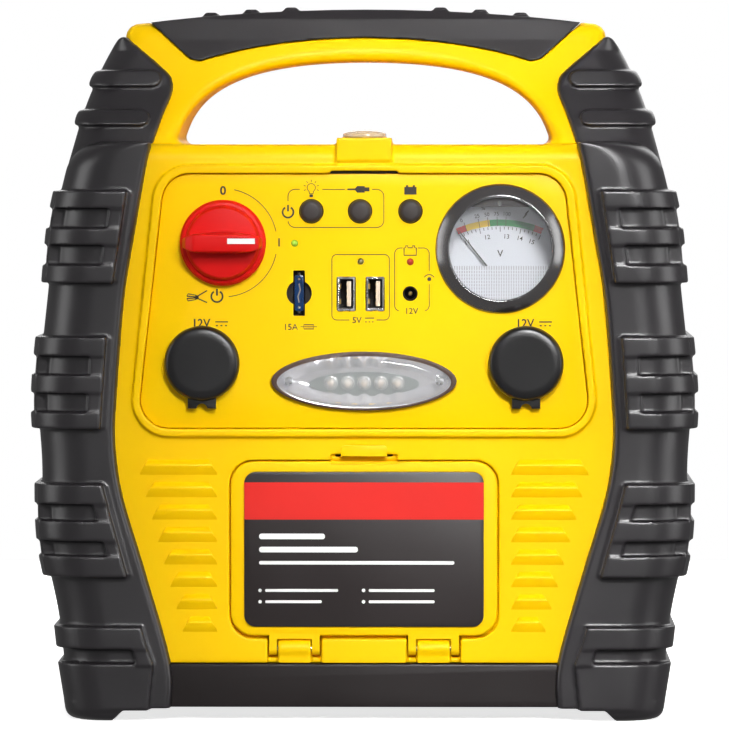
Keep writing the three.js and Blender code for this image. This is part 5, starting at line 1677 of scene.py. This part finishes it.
def build_gauge():
    x, y, _ = centre("gauge_body")
    cup = turned([(0, 222), (8.1, 222), (8.2, 222.6), (8.2, 246.4), (9.3, 246.8), (9.5, 247.2),
                  (9.5, 248.0), (9.3, 248.3), (8.9, 248.0), (7.4, 247.2), (7.2, 245), (0, 245)],
                 (x, y, 0), "z", 64)
    finish_piece(cup, "gauge_cup", BRASS, "gauge_body")
    card = turned([(0, 245.0), (7.1, 245.0), (7.1, 245.3), (0, 245.3)], (x, y, 0), "z", 48)
    finish_piece(card, "gauge_card", CARD)
    ticks = []
    for k in range(28):
        inner = 5.0 if k % 3 == 0 else 5.8
        tick = [(inner, -0.12), (6.5, -0.12), (6.5, 0.12), (inner, 0.12)]
        ticks.append(gauge_plate(tick, -225 + k * 10, 245.25, 245.4))
    finish_piece(merge(ticks), "gauge_ticks", INK)
    blade = [(-2, -0.5), (1, -0.5), (5.6, -0.1), (5.8, 0), (5.6, 0.1), (1, 0.5), (-2, 0.5)]
    pointer = gauge_plate(blade, 225, 246.0, 246.5)
    hub = plate_z(disc(x, y, 1.2, 24), 245.5, 247.1)
    finish_piece(merge([pointer, hub]), "gauge_pointer", NEEDLE, "gauge_needle", body="gauge_needle")
    turns = [math.pi / 2 * k / 10 for k in range(10)]
    dome = [(9.25, 248.0)] + [(9.25 * math.cos(t), 249.3 + 1.9 * math.sin(t)) for t in turns]
    dome += [(0, 251.2), (0, 250.5)]
    dome += [(8.5 * math.cos(t), 249.1 + 1.4 * math.sin(t)) for t in reversed(turns)] + [(8.5, 248.0)]
    finish_piece(turned(dome, (x, y, 0), "z", 64), "gauge_dome", GAUGE_GLASS, "gauge_lens", angle=60)


# ------------------------------------------------------------------ rear fittings
ROCKER_TILT = 9


def lead_gland():
    """The rounded plate with two ringed holes that the jump leads come out of."""
    z = centre("lead_gland")[2]
    low, high = box_mm("lead_gland")
    plate = ease_edges(tile(low[0], high[0], low[2], high[2], 71.1, high[1], 9.5, 8), 0.9, 3)
    neck = tile(-15.9, 15.9, z - 7.4, z + 7.4, low[1], 71.4, 7.2, 8)
    body = join(plate, neck)
    for side in (-1, 1):
        ring = soft_turned([(4.4, 70), (4.4, 74.4), (5.0, 74.98), (6.2, 74.98), (6.6, 74.4), (6.6, 70)],
                           0.2, (side * 7.5, 0, z), segments=48)
        body = join(body, ring)
        body = cut(body, rod(side * 7.5, z, 4.4, low[1] - 1, high[1] + 1, 40))
    finish_piece(body, "gland_plate", BLACK, "lead_gland")


def hose_outlet():
    """A brass hexagon nut with a barbed nipple for the air hose."""
    x, _, z = centre("hose_outlet")
    nut = common(rod(x, z, 7.3, 71.2, 74.4, 6),
                 turned([(0, 71), (6.9, 71.2), (7.3, 71.7), (7.3, 73.9), (6.7, 74.4), (0, 74.6)],
                        (x, 0, z)))
    nipple = turned([(2.2, 61.1), (6.1, 61.1), (6.1, 71.3), (4.2, 71.3), (4.2, 75.2), (3.6, 75.6),
                     (4.1, 76.4), (3.5, 76.8), (4.0, 77.4), (3.3, 78.0), (2.2, 78.0)], (x, 0, z),
                    segments=48)
    body = cut(join(nut, nipple), rod(x, z, 2.2, 60, 79, 24))
    finish_piece(body, "hose_nipple", BRASS, "hose_outlet")


def compressor_switch():
    """The rocker switch: its frame, and a paddle tipped to one side."""
    low, high = box_mm("compressor_switch")
    x, z = (low[0] + high[0]) / 2, (low[2] + high[2]) / 2
    frame_part = ease_edges(tile(low[0], high[0], low[2], high[2], 71.1, high[1], 1.5), 0.4, 2)
    case = tile(x - 10.9, x + 10.9, z - 7.4, z + 7.4, low[1], 71.3, 0.8)
    body = cut(join(frame_part, case), tile(x - 9.8, x + 9.8, z - 6.2, z + 6.2, low[1] + 2, 80, 0.5))
    finish_piece(body, "switch_frame", BLACK, "compressor_switch")
    tilt = math.radians(ROCKER_TILT)
    profile = [(-9.2, 66.2), (9.2, 66.2), (9.2, 71.2), (8.6, 72.2), (4, 71.1), (0, 70.7), (-4, 71.1),
               (-8.6, 72.2), (-9.2, 71.2)]
    paddle = ease_edges(plate_z(profile, z - 5.7, z + 5.7), 0.35, 2)
    pivot = Vector((x, 69.5, z))
    paddle.data.transform(Matrix.Translation((x, 0, 0)))
    paddle.data.transform(Matrix.Translation(pivot) @ Matrix.Rotation(tilt, 4, "Z")
                          @ Matrix.Translation(-pivot))
    finish_piece(paddle, "rocker_paddle", BLACK, "compressor_rocker", body="rocker")


def case_screws():
    """Cross-slotted screws that hold the two case halves together."""
    for index in range(1, 5):
        node = f"case_screw_{index}"
        x, _, z = centre(node)
        low, high = box_mm(node)
        top = high[1]
        screw = soft_turned([(0, low[1]), (1.5, low[1] + 1.5), (1.6, top - 3), (3.1, top - 2.9),
                             (3.3, top - 1.6), (2.6, top - 0.4), (0, top)], 0.3, (x, 0, z), segments=36)
        for turn in (45, -45):
            a, b = math.cos(math.radians(turn)), math.sin(math.radians(turn))
            corners = ((-2, -0.4), (2, -0.4), (2, 0.4), (-2, 0.4))
            slot = [(x + u * a - v * b, z + u * b + v * a) for u, v in corners]
            screw = cut(screw, slab(slot, top - 1.5, top + 1))
        finish_piece(screw, f"{node}_head", STEEL, node)


def build_rear():
    lead_gland()
    hose_outlet()
    compressor_switch()
    case_screws()


# ------------------------------------------------------------------ inner parts kept from the frame
def dress_inner_parts():
    looks = {
        "battery": BATTERY, "battery_strap": STEEL, "main_board": BOARD, "button_board": BOARD,
        "compressor_motor": ZINC, "motor_pinion": GEAR, "crank_gear": GEAR, "piston_rod": CAST,
        "pump_body": CAST, "mode_switch": BLACK, "fuse_holder": BLACK,
    }
    for node, material in looks.items():
        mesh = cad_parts[node].data
        mesh.materials.clear()
        mesh.materials.append(material)


camera_and_light()
build_shell()
build_panel()
build_voltmeter()
build_outlets()
build_lamp()
build_door()
build_gauge()
build_rear()
dress_inner_parts()
